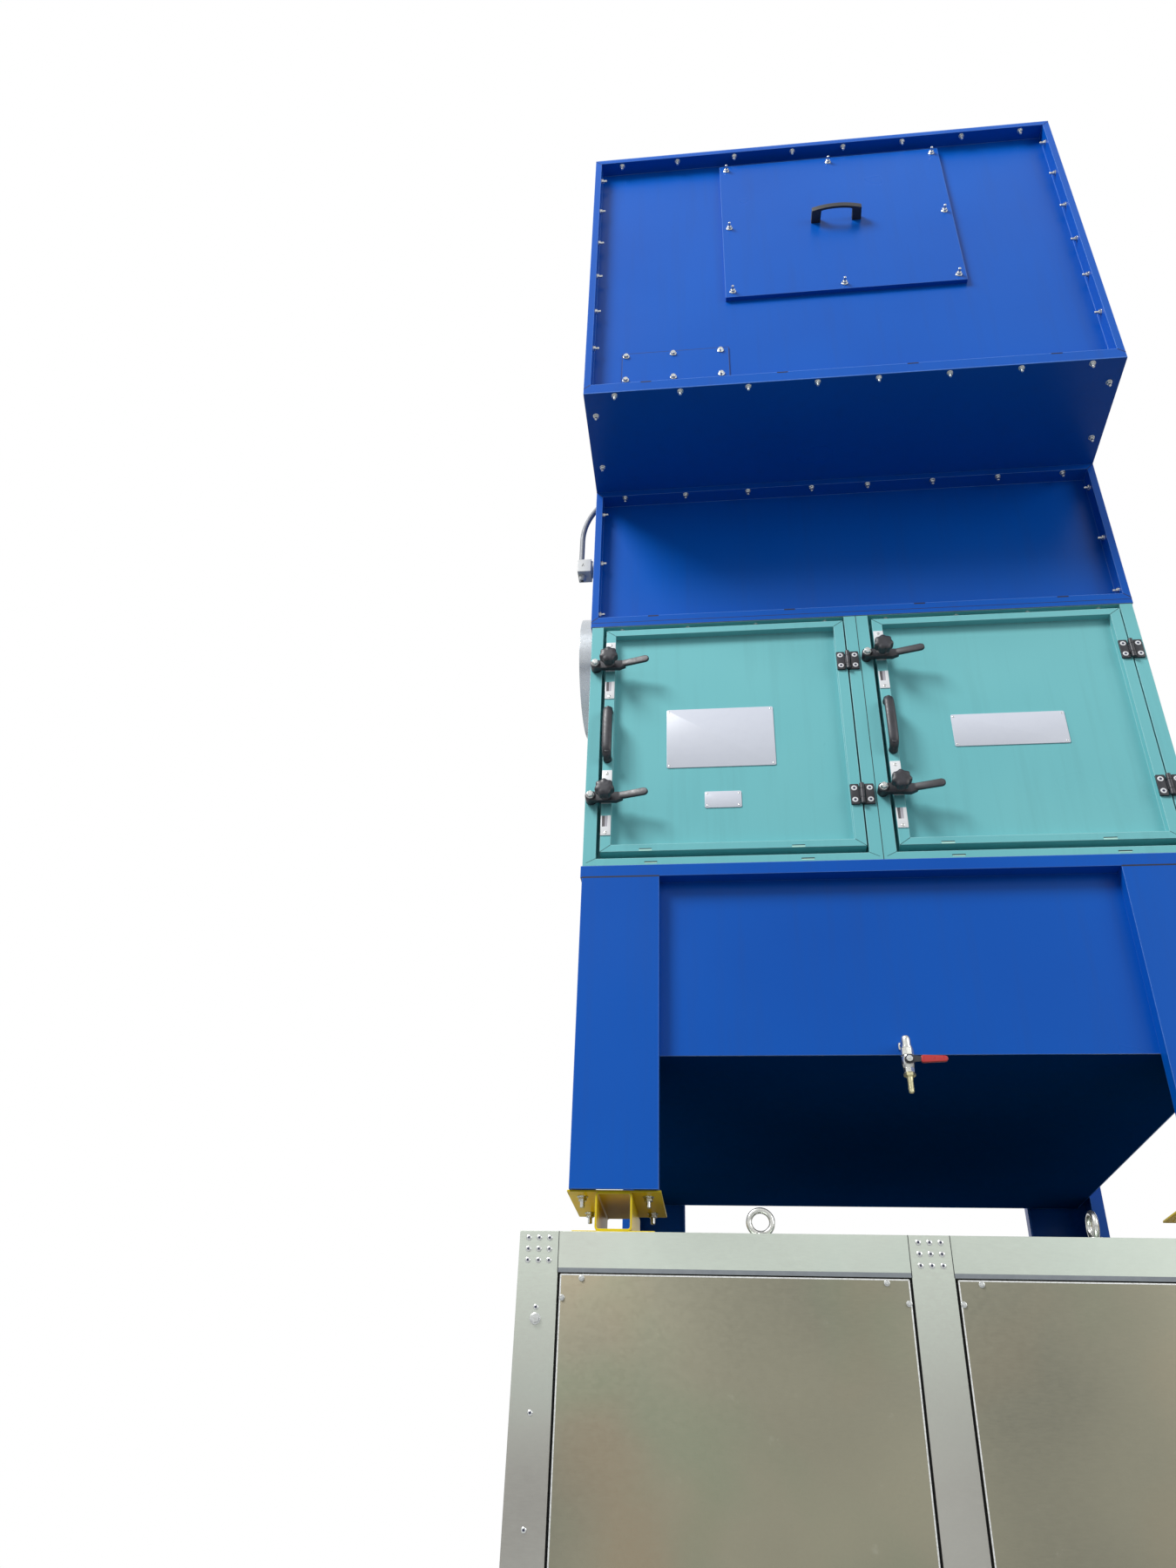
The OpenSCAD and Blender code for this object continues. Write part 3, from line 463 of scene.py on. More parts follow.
def cover_bolts():
    """Long studs with washers and nuts that hold the inspection cover, and the short bolts of the plate."""
    bm = bmesh.new()
    mid = (cover_lo + cover_hi) / 2
    reach_x, reach_z = COVER_REACH
    for dx in (-1, 0, 1):
        for dz in (-1, 0, 1):
            if dx or dz:
                at = (mid.x + dx * reach_x * MM, cover_lo.y, mid.z + dz * reach_z * MM)
                hex_bolt_into(bm, at, FRONT, **COVER_STUD, spin=dx + dz)
    for x in (12, 153, 294):
        for z in (15, 123):
            at = (blank_lo.x + x * MM, blank_lo.y, blank_lo.z + z * MM)
            hex_bolt_into(bm, at, FRONT, **PLATE_BOLT, spin=x)
    piece("cover_bolts", bm, "casing", ZINC)


def foot_bolts():
    """Bolts through the top plates of the feet, with nuts and thread ends below."""
    bm = bmesh.new()
    feet_lo, feet_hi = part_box("feet")
    mid_x = feet_hi.x - FOOT_W / 2 * MM
    mid_y = feet_lo.y + FOOT_D / 2 * MM
    under = feet_hi.z - 4 * MM
    reach_x, reach_y = FOOT_BOLT_REACH
    for sx in (-1, 1):
        for sy in (-1, 1):
            for dx in (-reach_x, reach_x):
                for dy in (-reach_y, reach_y):
                    at = (sx * (mid_x + dx * MM), sy * (-mid_y - dy * MM), under)
                    hex_bolt_into(bm, at, DOWN, **FOOT_NUT, spin=dx + dy)
    piece("foot_bolts", bm, "casing", ZINC)


def housing_fasteners():
    """Rivets and bolts on the posts, and screws in the wall panels."""
    rivets = bmesh.new()
    cores = bmesh.new()
    screws = bmesh.new()
    half = post_hi.x
    deep = post_hi.y
    inward = [(RIVET_MARGIN + RIVET_STEP * k) * MM for k in range(3)]
    rows = [post_hi.z - d for d in inward] + [post_lo.z + d for d in inward]
    places = [(x, y, n) for x in (-half + POST / 2, 0.0, half - POST / 2)
              for y, n in ((-deep, FRONT), (deep, BACK))]
    places += [(x, y, n) for y in (-deep + POST / 2, 0.0, deep - POST / 2)
               for x, n in ((-half, LEFT), (half, RIGHT))]
    for x, y, n in places:
        across = RIGHT if n.y else BACK
        for z in rows:
            for k in (-1, 0, 1):
                at = Vector((x, y, z)) + across * k * RIVET_STEP * MM
                rivet_into(rivets, at, n)
                rivet_core_into(cores, at, n)
        if abs(x) < POST or abs(y) < POST:
            continue
        for drop in POST_RIVET_DROPS:
            at = Vector((x, y, post_hi.z - drop * MM))
            rivet_into(rivets, at, n, 5.6)
            rivet_core_into(cores, at, n)
        if n == FRONT:
            hex_bolt_into(screws, (x, y, post_hi.z - POST_BOLT_DROP * MM), n, **POST_BOLT)
    mid = POST / 2
    for n in (FRONT, BACK, LEFT, RIGHT):
        across = UP.cross(n)
        face = n * (deep if n.y else half)
        edge = (half if n.y else deep) - POST
        tall = HIGH_HEAD if n == FRONT else LOW_HEAD
        for z, s in ((wall_hi.z, -1), (wall_lo.z, 1)):
            for u, t in ((mid, 1), (edge, -1), (-edge, 1), (-mid, -1)):
                for du, dz in PANEL_SCREWS:
                    at = face + across * (u + t * du * MM) + UP * (z + s * dz * MM)
                    screw_into(screws, at, n, SCREW_R, tall)
    piece("housing_rivets", rivets, "casing", ZINC)
    piece("housing_rivet_cores", cores, "casing", INK)
    piece("housing_screws", screws, "casing", ZINC)


plenum_bolts()
neck_bolts()
cover_bolts()
foot_bolts()
housing_fasteners()


# Fittings, in millimetres about an origin on the face that carries them

def facing(at, turn=FRONT):
    """A frame on a face: x to the right, y up and z out of the face."""
    out = Vector(turn)
    right = UP.cross(out).normalized()
    axes = Matrix((right, UP, out)).transposed().to_4x4()
    return Matrix.Translation(at) @ axes @ Matrix.Scale(MM, 4)


def slab_into(bm, outline, place, low, high, bevel=0.0, segments=2):
    """Extrudes an outline from one depth to another, with its outer edge eased."""
    foot = [bm.verts.new(place @ Vector((u, v, low))) for u, v in outline]
    head = [bm.verts.new(place @ Vector((u, v, high))) for u, v in outline]
    top = skin_into(bm, [foot, head])
    if bevel:
        bmesh.ops.bevel(bm, geom=list(top.edges), offset=bevel * MM, segments=segments, profile=0.6,
                        affect="EDGES")


def arc(cx, cy, r, start, end, steps=8):
    """Points along an arc, angles in degrees."""
    turns = [math.radians(start + (end - start) * i / steps) for i in range(steps + 1)]
    return [(cx + r * math.cos(a), cy + r * math.sin(a)) for a in turns]


def round_rect(w, h, r, cx=0.0, cy=0.0, steps=5):
    x = w / 2 - r
    y = h / 2 - r
    return (arc(cx + x, cy + y, r, 0, 90, steps) + arc(cx - x, cy + y, r, 90, 180, steps)
            + arc(cx - x, cy - y, r, 180, 270, steps) + arc(cx + x, cy - y, r, 270, 360, steps))


def bar_into(bm, path, across, wide, thick, sides=16):
    """A bar along a flat path; wide and thick are half sizes, given along the path from 0 to 1."""
    across = Vector(across).normalized()
    rings = []
    for i, point in enumerate(path):
        t = i / (len(path) - 1)
        ahead = (path[min(i + 1, len(path) - 1)] - path[max(i - 1, 0)]).normalized()
        other = ahead.cross(across)
        turns = [math.tau * k / sides for k in range(sides)]
        spots = [across * wide(t) * math.cos(a) + other * thick(t) * math.sin(a) for a in turns]
        rings.append([bm.verts.new(point + spot) for spot in spots])
    skin_into(bm, rings)


def smooth_path(points, steps=6):
    """A smooth curve through points, one cubic from each to the next."""
    points = [Vector(p) for p in points]
    ends = [2 * points[0] - points[1], *points, 2 * points[-1] - points[-2]]
    path = []
    for a, b, c, d in zip(ends, ends[1:], ends[2:], ends[3:]):
        for i in range(steps):
            t = i / steps
            path.append(0.5 * (2 * b + (c - a) * t + (2 * a - 5 * b + 4 * c - d) * t * t
                               + (3 * b - a - 3 * c + d) * t ** 3))
    path.append(points[-1])
    return path


# Clamps, handles, hinges and plates of the doors

HUB_X = 16.5
KNOB_X = 40.5
CLAMP_Z = (634, 195)
HINGE_Z = (626, 190)
HINGE_X = 715
HANDLE_Z = 402
DOOR_LEFT = 43
BORDER = 27
GRIP_REACH = 78
DOORS = {
    "left_door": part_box("left_filter_frame")[0],
    "right_door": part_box("right_filter_frame")[0],
}


def clamps(body):
    """Swing clamps: an arm on a bolt, with a star knob and a bent tail lever."""
    corner = DOORS[body]
    arms = bmesh.new()
    bolts = bmesh.new()
    tips = bmesh.new()
    tail_x = 66.5
    tail_long = 78.5
    arm = arc(0, 0, 14, 90, 270, 12) + [(40, -15.5), (68, -17), (85, -9.5), (85, 9.5), (66, 10), (40.5, 11)]
    for z in CLAMP_Z:
        on_stile = facing(corner + Vector((HUB_X, 0, z)) * MM)
        slab_into(arms, arm, on_stile, 12.5, 25.5, 2.0, 3)
        disc_into(arms, [(14, 12.5), (14, 26.5), (13.4, 28), (12, 28.5)], on_stile, sides=32)
        disc_into(arms, [(14, 12.5), (14, 26), (13, 28), (11, 29), (10, 47)], on_stile, KNOB_X, sides=32)
        disc_into(arms, [(15, 45.5), (22, 46.5), (25.4, 49), (26, 53), (26, 65), (25.2, 68.5), (22, 70.8),
                         (12, 71.4), (4, 71.5)], on_stile, KNOB_X, sides=84,
                  wave=lambda a: 0.93 + 0.07 * math.cos(7 * a + 1.2))
        turn = Matrix.Translation((tail_x, 0, 15.5)) @ Matrix.Rotation(math.radians(-15), 4, "Y")
        tail = arc(tail_long, 0, 10, -90, 90, 14) + [(8, 10), (8, -10)]
        slab_into(arms, tail, on_stile @ turn, 0, 7, 2.0, 3)
        disc_into(tips, [(8, 2.2), (9, 3), (9, 10), (7, 12.6)], on_stile, KNOB_X)
        disc_into(bolts, [(10.5, 28.5), (10.5, 29.9), (9.8, 30.5)], on_stile, sides=28)
        disc_into(bolts, [(9.2, 30.4), (9.6, 31.2), (9.6, 36.6), (8.4, 38.4)], on_stile, sides=6, spin=0.35)
        disc_into(bolts, [(5.5, 38.3), (5.2, 38.8)], on_stile, sides=20)
    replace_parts(piece(body + "_clamp_arms", arms, body, BLACK, 40), body + "_clamps")
    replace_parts(piece(body + "_clamp_bolts", bolts, body, ZINC, 30), body + "_clamps")
    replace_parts(piece(body + "_clamp_tips", tips, body, WHITE), body + "_clamps")


def door_handle(body):
    """A bow handle whose oval grip swells toward its middle."""
    at = facing(DOORS[body] + Vector((DOOR_LEFT + BORDER / 2, 0, HANDLE_Z)) * MM)
    half = [(0, -GRIP_REACH, 0.3), (0, -GRIP_REACH, 12), (0, -75, 23), (0, -66, 30), (0, -50, 33),
            (0, -25, 34.5), (0, 0, 35)]
    path = smooth_path(half + [(0, -v, w) for _, v, w in reversed(half[:-1])], 4)
    bm = bmesh.new()
    ends = lambda t: min(1.0, abs(1 - 2 * t)) ** 6
    bar_into(bm, [at @ p for p in path], RIGHT, lambda t: (13.4 - 3.0 * abs(1 - 2 * t) ** 2) * MM,
             lambda t: (6.8 + 4.5 * ends(t)) * MM, 24)
    for v in (-GRIP_REACH, GRIP_REACH):
        disc_into(bm, [(11.9, 0.1), (11.9, 6), (10.6, 10)], at, 0, v, 32)
    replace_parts(piece(body + "_grip", bm, body, BLACK, 50), body + "_handle")
    caps = bmesh.new()
    for v in (-71, 71):
        disc_into(caps, [(5.5, 32.2), (5.5, 34.6), (4.5, 35.2)], at, 0, v, 20)
    piece(body + "_grip_caps", caps, body, BLACK)


def wear_plates(body):
    """White plates under the clamps' feet, each with a screw, the short ones with a run-up pocket whose floor
    is drawn in two greys of painted shade.
    """
    plates = bmesh.new()
    screws = bmesh.new()
    pockets = bmesh.new()
    pale_recess_strips = bmesh.new()
    notch = [(-13.3, -106.8), (13.3, -106.8), (13.3, -47.2), (4.5, -47.2), (4.5, -81), (-9.5, -81),
             (-9.5, -47.2), (-13.3, -47.2)]
    for z in CLAMP_Z:
        at = facing(DOORS[body] + Vector((DOOR_LEFT + BORDER / 2, 0, z)) * MM)
        slab_into(plates, round_rect(26.6, 103.6, 1.5, 0, 42), at, 0.05, 2, 0.6)
        slab_into(plates, notch, at, 0.05, 2, 0.4)
        # The pocket's floor: a dark strip and a paler one, painted shade in the recess.
        slab_into(pockets, [(-9.5, -80.9), (-2.5, -80.9), (-2.5, -47.3), (-9.5, -47.3)], at, 0.05, 0.6)
        slab_into(pale_recess_strips, [(-2.5, -80.9), (4.4, -80.9), (4.4, -47.3), (-2.5, -47.3)], at, 0.05, 1.2)
        for v in (83, -99):
            disc_into(screws, [(4.6, 1.9), (4.4, 2.5), (2.6, 3.2), (1.2, 3.3)], at, 0, v, 18)
    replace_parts(piece(body + "_slides", plates, body, WHITE), body[:-5] + "_wear_plates")
    piece(body + "_slide_screws", screws, body, ZINC)
    piece(body + "_slide_pockets", pockets, body, DEEP_RECESS_SHADE)
    piece(body + "_slide_rubs", pale_recess_strips, body, PALE_RECESS_SHADE)


def hinge_half(bm, rings, dots, at, side, spans, cap):
    """One leaf toward a side with its knuckles; rings and dots are its screw caps."""
    slab_into(bm, round_rect(22, 60, 2.0, side * 19, 0), at, 0.05, 5, 0.8)
    for low, high in spans:
        axis = at @ Matrix.Translation((0, low, 7)) @ Matrix.Rotation(-QUARTER, 4, "X")
        span = high - low
        disc_into(bm, [(5.9, 0), (6.4, 0.5), (6.4, span - 0.5), (5.9, span)], axis, sides=24)
        slab_into(bm, round_rect(10, span, 0.5, side * 5, (low + high) / 2), at, 0.05, 4.4)
        if cap:
            disc_into(bm, [(3.2, -0.6), (3.2, span + 0.6)], axis, sides=16)
    for v in (-17.5, 17.5):
        disc_into(rings, [(7.6, 4.9), (7.6, 5.5), (6.8, 6.1), (4.6, 6.0)], at, side * 19.5, v, 24)
        disc_into(dots, [(3.6, 5.9), (3.5, 6.15)], at, side * 19.5, v, 16)


def hinges():
    """Moulded hinges with capped screws; the outer knuckles stay on the frame."""
    fixed = [bmesh.new(), bmesh.new(), bmesh.new()]
    for body, corner in DOORS.items():
        moving = [bmesh.new(), bmesh.new(), bmesh.new()]
        for z in HINGE_Z:
            at = facing(corner + Vector((HINGE_X, 0, z)) * MM)
            hinge_half(*fixed, at, 1, [(-30, -13.3), (13.3, 30)], True)
            hinge_half(*moving, at, -1, [(-13, 13)], False)
        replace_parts(piece(body + "_hinge_leaves", moving[0], body, BLACK), body + "_hinges")
        piece(body + "_hinge_rings", moving[1], body, WHITE)
        piece(body + "_hinge_dots", moving[2], body, INK)
    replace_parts(piece("frame_hinge_leaves", fixed[0], "casing", BLACK), "frame_hinges")
    piece("frame_hinge_rings", fixed[1], "casing", WHITE)
    piece("frame_hinge_dots", fixed[2], "casing", INK)


def sign_plates():
    """Bare enamelled plates with a rivet at each corner."""
    plates = {"left_door": [(-391, 400, 290, 192), (-389, 201, 96, 50)], "right_door": [(366, 395, 292, 102)]}
    nodes = {"left_door": "left_door_signs", "right_door": "right_door_sign"}
    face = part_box("left_door_signs")[1].y
    margin = 7
    for body, places in plates.items():
        bm = bmesh.new()
        rivets = bmesh.new()
        for x, z, w, h in places:
            at = facing((x * MM, face, filter_z + z * MM))
            slab_into(bm, round_rect(w, h, 4), at, 0.05, 2, 0.5)
            for u in (margin - w / 2, w / 2 - margin):
                for v in (margin - h / 2, h / 2 - margin):
                    disc_into(rivets, [(2.6, 1.9), (2.5, 2.4), (1.4, 3.0)], at, u, v, 14)
        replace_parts(piece(body + "_plates", bm, body, PLATE), nodes[body])
        piece(body + "_plate_rivets", rivets, body, ZINC)


def cover_handle():
    """A bridge handle with two broad legs and a flat grip that arches outward."""
    lo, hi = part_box("cover_handle")
    at = facing(((lo.x + hi.x) / 2, hi.y, (lo.z + hi.z) / 2))
    bm = bmesh.new()
    half = 79
    leg = 29
    rise = 11
    out = 52
    big = (half * half + rise * rise) / (2 * rise)
    turn = math.degrees(math.asin(half / big)) - 0.3
    small = big - 7
    inner = math.degrees(math.asin((half - leg) / small))
    outline = arc(0, out - big, big, 90 + turn, 90 - turn, 16) + [(half, 0.3), (half - leg, 0.3)]
    outline += arc(0, out - big, small, 90 - inner, 90 + inner, 12) + [(leg - half, 0.3), (-half, 0.3)]
    slab_into(bm, outline, at @ Matrix.Rotation(QUARTER, 4, "X"), -9.5, 9.5, 1.6, 2)
    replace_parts(piece("cover_grip", bm, "casing", BLACK, 40), "cover_handle")


for body in DOORS:
    clamps(body)
    door_handle(body)
    wear_plates(body)
hinges()
sign_plates()
cover_handle()


# Housing panels, eyes and feet

def strip_into(bm, a, b, normal, width=1.2, proud=0.15):
    """A thin strip on a face from one point to another; its width and height are in millimetres."""
    a = Vector(a)
    b = Vector(b)
    n = Vector(normal)
    side = (b - a).cross(n).normalized() * width / 2 * MM
    low = [a - side, b - side, b + side, a + side]
    verts = [bm.verts.new(p + n * d * MM) for d in (-0.1, proud) for p in low]
    bm.faces.new(verts[4:])
    bm.faces.new(list(reversed(verts[:4])))
    for i in range(4):
        j = (i + 1) % 4
        bm.faces.new((verts[i], verts[j], verts[j + 4], verts[i + 4]))


def wall_panels():
    """Insulated wall panels with a painted highlight along their sheet edges, a gap around each that is dark
    with painted shade, and strips of painted shade along the rails.
    """
    faces = bmesh.new()
    gaps = bmesh.new()
    edges = bmesh.new()
    lips = bmesh.new()
    low = wall_lo.z
    high = wall_hi.z
    for n in (FRONT, BACK, LEFT, RIGHT):
        across = UP.cross(n)
        far = wall_hi.y if n.y else wall_hi.x
        lo_u = POST / 2
        hi_u = (wall_hi.x if n.y else wall_hi.y) - POST
        for side in (-1, 1):
            # Each panel has a face and, behind its gap, a dark box: painted shade in the gap.
            for bm, wide, tall, out, back in ((faces, 5.5, 3.0, 0, 30), (gaps, 0, 0, 12, 40)):
                a = across * side * (lo_u + wide * MM) + n * (far - out * MM) + UP * (low + tall * MM)
                b = across * side * (hi_u - wide * MM) + n * (far - back * MM) + UP * (high - tall * MM)
                corner_lo = Vector(map(min, a, b))
                corner_hi = Vector(map(max, a, b))
                box_into(bm, corner_lo, corner_hi, 2.0 * MM if bm is faces else 0.0)
            u0 = lo_u + 7 * MM
            u1 = hi_u - 7 * MM
            z0 = low + 4.5 * MM
            z1 = high - 4.5 * MM
            ring = [(u0, z0), (u1, z0), (u1, z1), (u0, z1)]
            spots = [across * side * u + n * far + UP * z for u, z in ring]
            # Bright strips on the rounded sheet edges: a painted highlight.
            for a, b in zip(spots, spots[1:] + spots[:1]):
                strip_into(edges, a, b, n, 2.8)
            # Darker strips on the rails just above and below the panel: painted shade.
            for z in (low - 4.5 * MM, high + 4.5 * MM):
                a = across * side * lo_u + n * far + UP * z
                b = across * side * hi_u + n * far + UP * z
                strip_into(lips, a, b, n, 9.0)
    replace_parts(piece("wall_panel_faces", faces, "casing", PANEL_ZINC, 40),
                "housing_panels")
    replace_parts(piece("wall_panel_gaps", gaps, "casing", DARK_GAP), "housing_panels")
    piece("wall_panel_edge_highlights", edges, "casing", PANEL_EDGE_HIGHLIGHT)
    piece("rail_shade_strips", lips, "casing", RAIL_LIP)


def lifting_eyes():
    """Forged ring nuts on collars."""
    bm = bmesh.new()
    apart = 340 * MM
    mid = 31 * MM
    ring = 24.5
    rod = 6.4
    sides = 16
    for sx in (-1, 1):
        for sy in (-1, 1):
            at = Vector((sx * apart, sy * (post_hi.y - POST / 2), post_hi.z))
            collar = [(16.8 * MM, 0), (16.8 * MM, 6 * MM), (14.5 * MM, 8 * MM), (9 * MM, 8.5 * MM)]
            turned_into(bm, collar, at, UP, 32)
            across = RIGHT if sx < 0 else BACK
            other = across.cross(UP)
            rings = []
            for i in range(48):
                a = math.tau * i / 48
                out = across * math.cos(a) + UP * math.sin(a)
                r = rod + 0.9 * max(0.0, -math.sin(a)) ** 3
                turns = [math.tau * k / sides for k in range(sides)]
                spots = [out * (ring + r * math.cos(b)) + other * r * math.sin(b) for b in turns]
                rings.append([bm.verts.new(at + UP * mid + spot * MM) for spot in spots])
            for low, high in zip(rings, rings[1:] + rings[:1]):
                for k in range(sides):
                    bm.faces.new((low[k], low[k - 1], high[k - 1], high[k]))
    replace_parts(piece("eye_rings", bm, "casing", NICKEL, 50), "lifting_eyes")


def tube_into(bm, outer, inner, place, low, high):
    """Extrudes a hollow section whose two outlines have as many points."""
    rings = []
    for outline, depth in ((outer, low), (outer, high), (inner, high), (inner, low)):
        rings.append([bm.verts.new(place @ Vector((u, v, depth))) for u, v in outline])
    for a, b in zip(rings, rings[1:] + rings[:1]):
        for i in range(len(outer)):
            j = (i + 1) % len(outer)
            bm.faces.new((a[i], a[j], b[j], b[i]))


def feet():
    """Welded feet: a rounded square tube between two plates."""
    lo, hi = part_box("feet")
    mid_x = hi.x - FOOT_W / 2 * MM
    tall = hi.z - lo.z
    bm = bmesh.new()
    for s in (-1, 1):
        for y, n in ((lo.y, FRONT), (-lo.y, BACK)):
            at = facing((s * mid_x, y, (lo.z + hi.z) / 2), n)
            side = tall / 2 / MM
            tube_into(bm, round_rect(80, 80, 8), round_rect(72, 72, 5), at, -FOOT_D, 0)
            for v, w in ((side - 2, FOOT_W), (2 - side, 178)):
                down = Matrix.Rotation(-QUARTER, 4, "X")
                flat = at @ Matrix.Translation((0, v - 2, -FOOT_D / 2)) @ down
                slab_into(bm, round_rect(w, FOOT_D, 1.5), flat, 0, 4, 0.6)
    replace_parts(piece("foot_weldments", bm, "casing", YELLOW), "feet")


def junction_box():
    """A cable box on a round flange, with a domed gland below and a conduit to the neck's rim."""
    wall = neck_lo.x
    mid_y = front_y + 47 * MM
    low_z = neck_lo.z + 244 * MM
    at = facing((wall, mid_y, low_z + 28 * MM), LEFT)
    bm = bmesh.new()
    disc_into(bm, [(21, 0.1), (21, 7), (18, 9)], at, 0, 4, 36)
    slab_into(bm, round_rect(38, 44, 6), at, 8, 13)
    side = [(-25, -28), (25, -28), (25, 20), (17, 28), (-17, 28), (-25, 20)]
    slab_into(bm, side, at, 12, 52.6, 3.0, 3)
    for v in (-20, 16):
        disc_into(bm, [(4.2, 52.4), (4.2, 52.8)], at, 0, v, 14)
    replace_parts(piece("cable_box", bm, "casing", GREY), "junction_box")
    marks = bmesh.new()
    face = facing((wall - 36 * MM, front_y + 22 * MM, low_z + 26 * MM))
    slab_into(marks, [(-4, -6), (-2.6, -6), (2.4, 7), (1, 7)], face, -0.2, 0.2)
    slab_into(marks, [(0.2, 1), (1.4, 1), (4, -6), (2.8, -6)], face, -0.2, 0.2)
    piece("cable_box_mark", marks, "casing", DARK_GAP)
    glands = bmesh.new()
    under = Vector((wall - 39 * MM, mid_y, low_z))
    turned_into(glands, [(10.8 * MM, -1 * MM), (10.8 * MM, 8 * MM), (9.6 * MM, 13 * MM), (7 * MM, 16.4 * MM),
                         (3.6 * MM, 17.6 * MM)], under, DOWN, 28)
    reach = 44 * MM
    over = Vector((wall - reach, mid_y, low_z + 55.5 * MM))
    turned_into(glands, [(9.2 * MM, 0), (9.2 * MM, 4 * MM), (8.4 * MM, 5 * MM)], over, UP, 24)
    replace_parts(piece("cable_glands", glands, "casing", GREY), "junction_box")
    holes = bmesh.new()
    turned_into(holes, [(4.4 * MM, 16.8 * MM), (4.2 * MM, 17.8 * MM)], under, DOWN, 20)
    piece("cable_gland_hole", holes, "casing", DARK_GAP)
    bend = 240 * MM
    tube = 8 * MM
    rise = math.sqrt((bend + tube) ** 2 - (bend - reach) ** 2)
    start = plenum_lo_z - 8 * MM - rise
    low = low_z + 56 * MM
    x = wall - reach
    path = [Vector((x, mid_y, low + (start - low) * i / 6)) for i in range(6)]
    full = math.asin(rise / (bend + tube)) - 0.01
    for i in range(19):
        a = full * i / 18
        path.append(Vector((x + bend * (1 - math.cos(a)), mid_y, start + bend * math.sin(a))))
    pipe = bmesh.new()
    bar_into(pipe, path, BACK, lambda t: tube, lambda t: tube, 20)
    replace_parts(piece("conduit", pipe, "casing", CONDUIT, 50), "junction_box")


def drain_valve():
    """Ball valve on an elbow, with a hose tail below."""
    x = 0.0
    y = tank_lo.y - 42 * MM
    out_z = tank_lo.z + 18 * MM
    spin_z = out_z - 50 * MM
    bm = bmesh.new()
    at = Vector((x, tank_lo.y, out_z))

    def turn(profile, foot, axis, sides=28, spin=0.0, mesh=bm):
        turned_into(mesh, [(r * MM, h * MM) for r, h in profile], foot, axis, sides, spin)

    turn([(12.5, 0.1), (13.8, 0.8), (13.8, 6.5), (12.5, 7.5)], at, FRONT, 6, 0.5)
    turn([(10, 7), (10, 36), (8, 42)], at, FRONT)
    top = Vector((x, y, out_z))
    turn([(3, -11.5), (7.5, -9.5), (10, -5), (10.4, 0), (10.4, 14), (12.6, 15), (12.6, 19)], top, DOWN)
    turn([(12.8, 19), (14.2, 20), (14.2, 35), (12.8, 36)], top, DOWN, 8, 0.2)
    turn([(11.5, 35), (13.6, 42), (14.4, 50), (13.4, 58), (11, 64)], top, DOWN)
    turn([(10.5, 63), (11.6, 64), (11.6, 74), (10.8, 75)], top, DOWN, 6, 0.3)
    spindle = Vector((x, y, spin_z))
    turn([(9, 8), (9, 17), (7.8, 20)], spindle, FRONT)
    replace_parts(piece("valve_body", bm, "casing", NICKEL, 32), "drain_valve")
    tail = bmesh.new()
    turn([(11, 75.2), (13.4, 76.4), (13.4, 82), (11, 83.8)], top, DOWN, 6, 0.1, tail)
    turn([(4.2, 119.8), (4.2, 119.0), (6.0, 117.5), (6.0, 112), (6.9, 109), (5.7, 108.5), (6.7, 103),
          (5.7, 102.5), (6.7, 97), (5.7, 96.5), (6.9, 91), (6.9, 83)], top, DOWN, 28, 0.0, tail)
    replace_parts(piece("hose_tail", tail, "casing", BRASSY, 25), "drain_valve")
    nut = bmesh.new()
    turn([(7.6, 24.2), (7.6, 27.6), (6.6, 28.6)], spindle, FRONT, 8, 0.2, nut)
    turn([(3.6, 28.5), (3.2, 30.4)], spindle, FRONT, 16, 0.0, nut)
    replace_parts(piece("spindle_nut", nut, "casing", ZINC, 30), "drain_valve")


def drain_lever():
    """A flat strap on the spindle with a dipped grip."""
    lo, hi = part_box("drain_lever")
    at = facing((0, hi.y, (lo.z + hi.z) / 2))
    strap = bmesh.new()
    outline = arc(0, 0, 10.5, 60, 300, 20) + [(14, -6.5), (34, -5), (34, 5), (14, 6.5)]
    slab_into(strap, outline, at, 1.6, 4.4, 0.5)
    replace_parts(piece("lever_strap", strap, "drain_lever", BLACK), "drain_lever")
    grip = bmesh.new()
    outline = arc(76.5, 0, 6.8, -80, 80, 14) + arc(30, 3, 5, 90, 150, 4) + arc(30, -4, 5, 190, 270, 4)
    slab_into(grip, outline, at, 0.1, 5.9, 2.0, 3)
    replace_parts(piece("lever_grip", grip, "drain_lever", RED, 50), "drain_lever")


# Seams and milled slots, drawn as shallow strips on the sheet

def slot_into(bm, x, z, length=31.0, height=3.2, y=front_y):
    """A milled slot with rounded corners; its length and height are in millimetres."""
    slab_into(bm, round_rect(length, height, 1.1, steps=3), facing((x, y, z)), -0.1, 0.25)


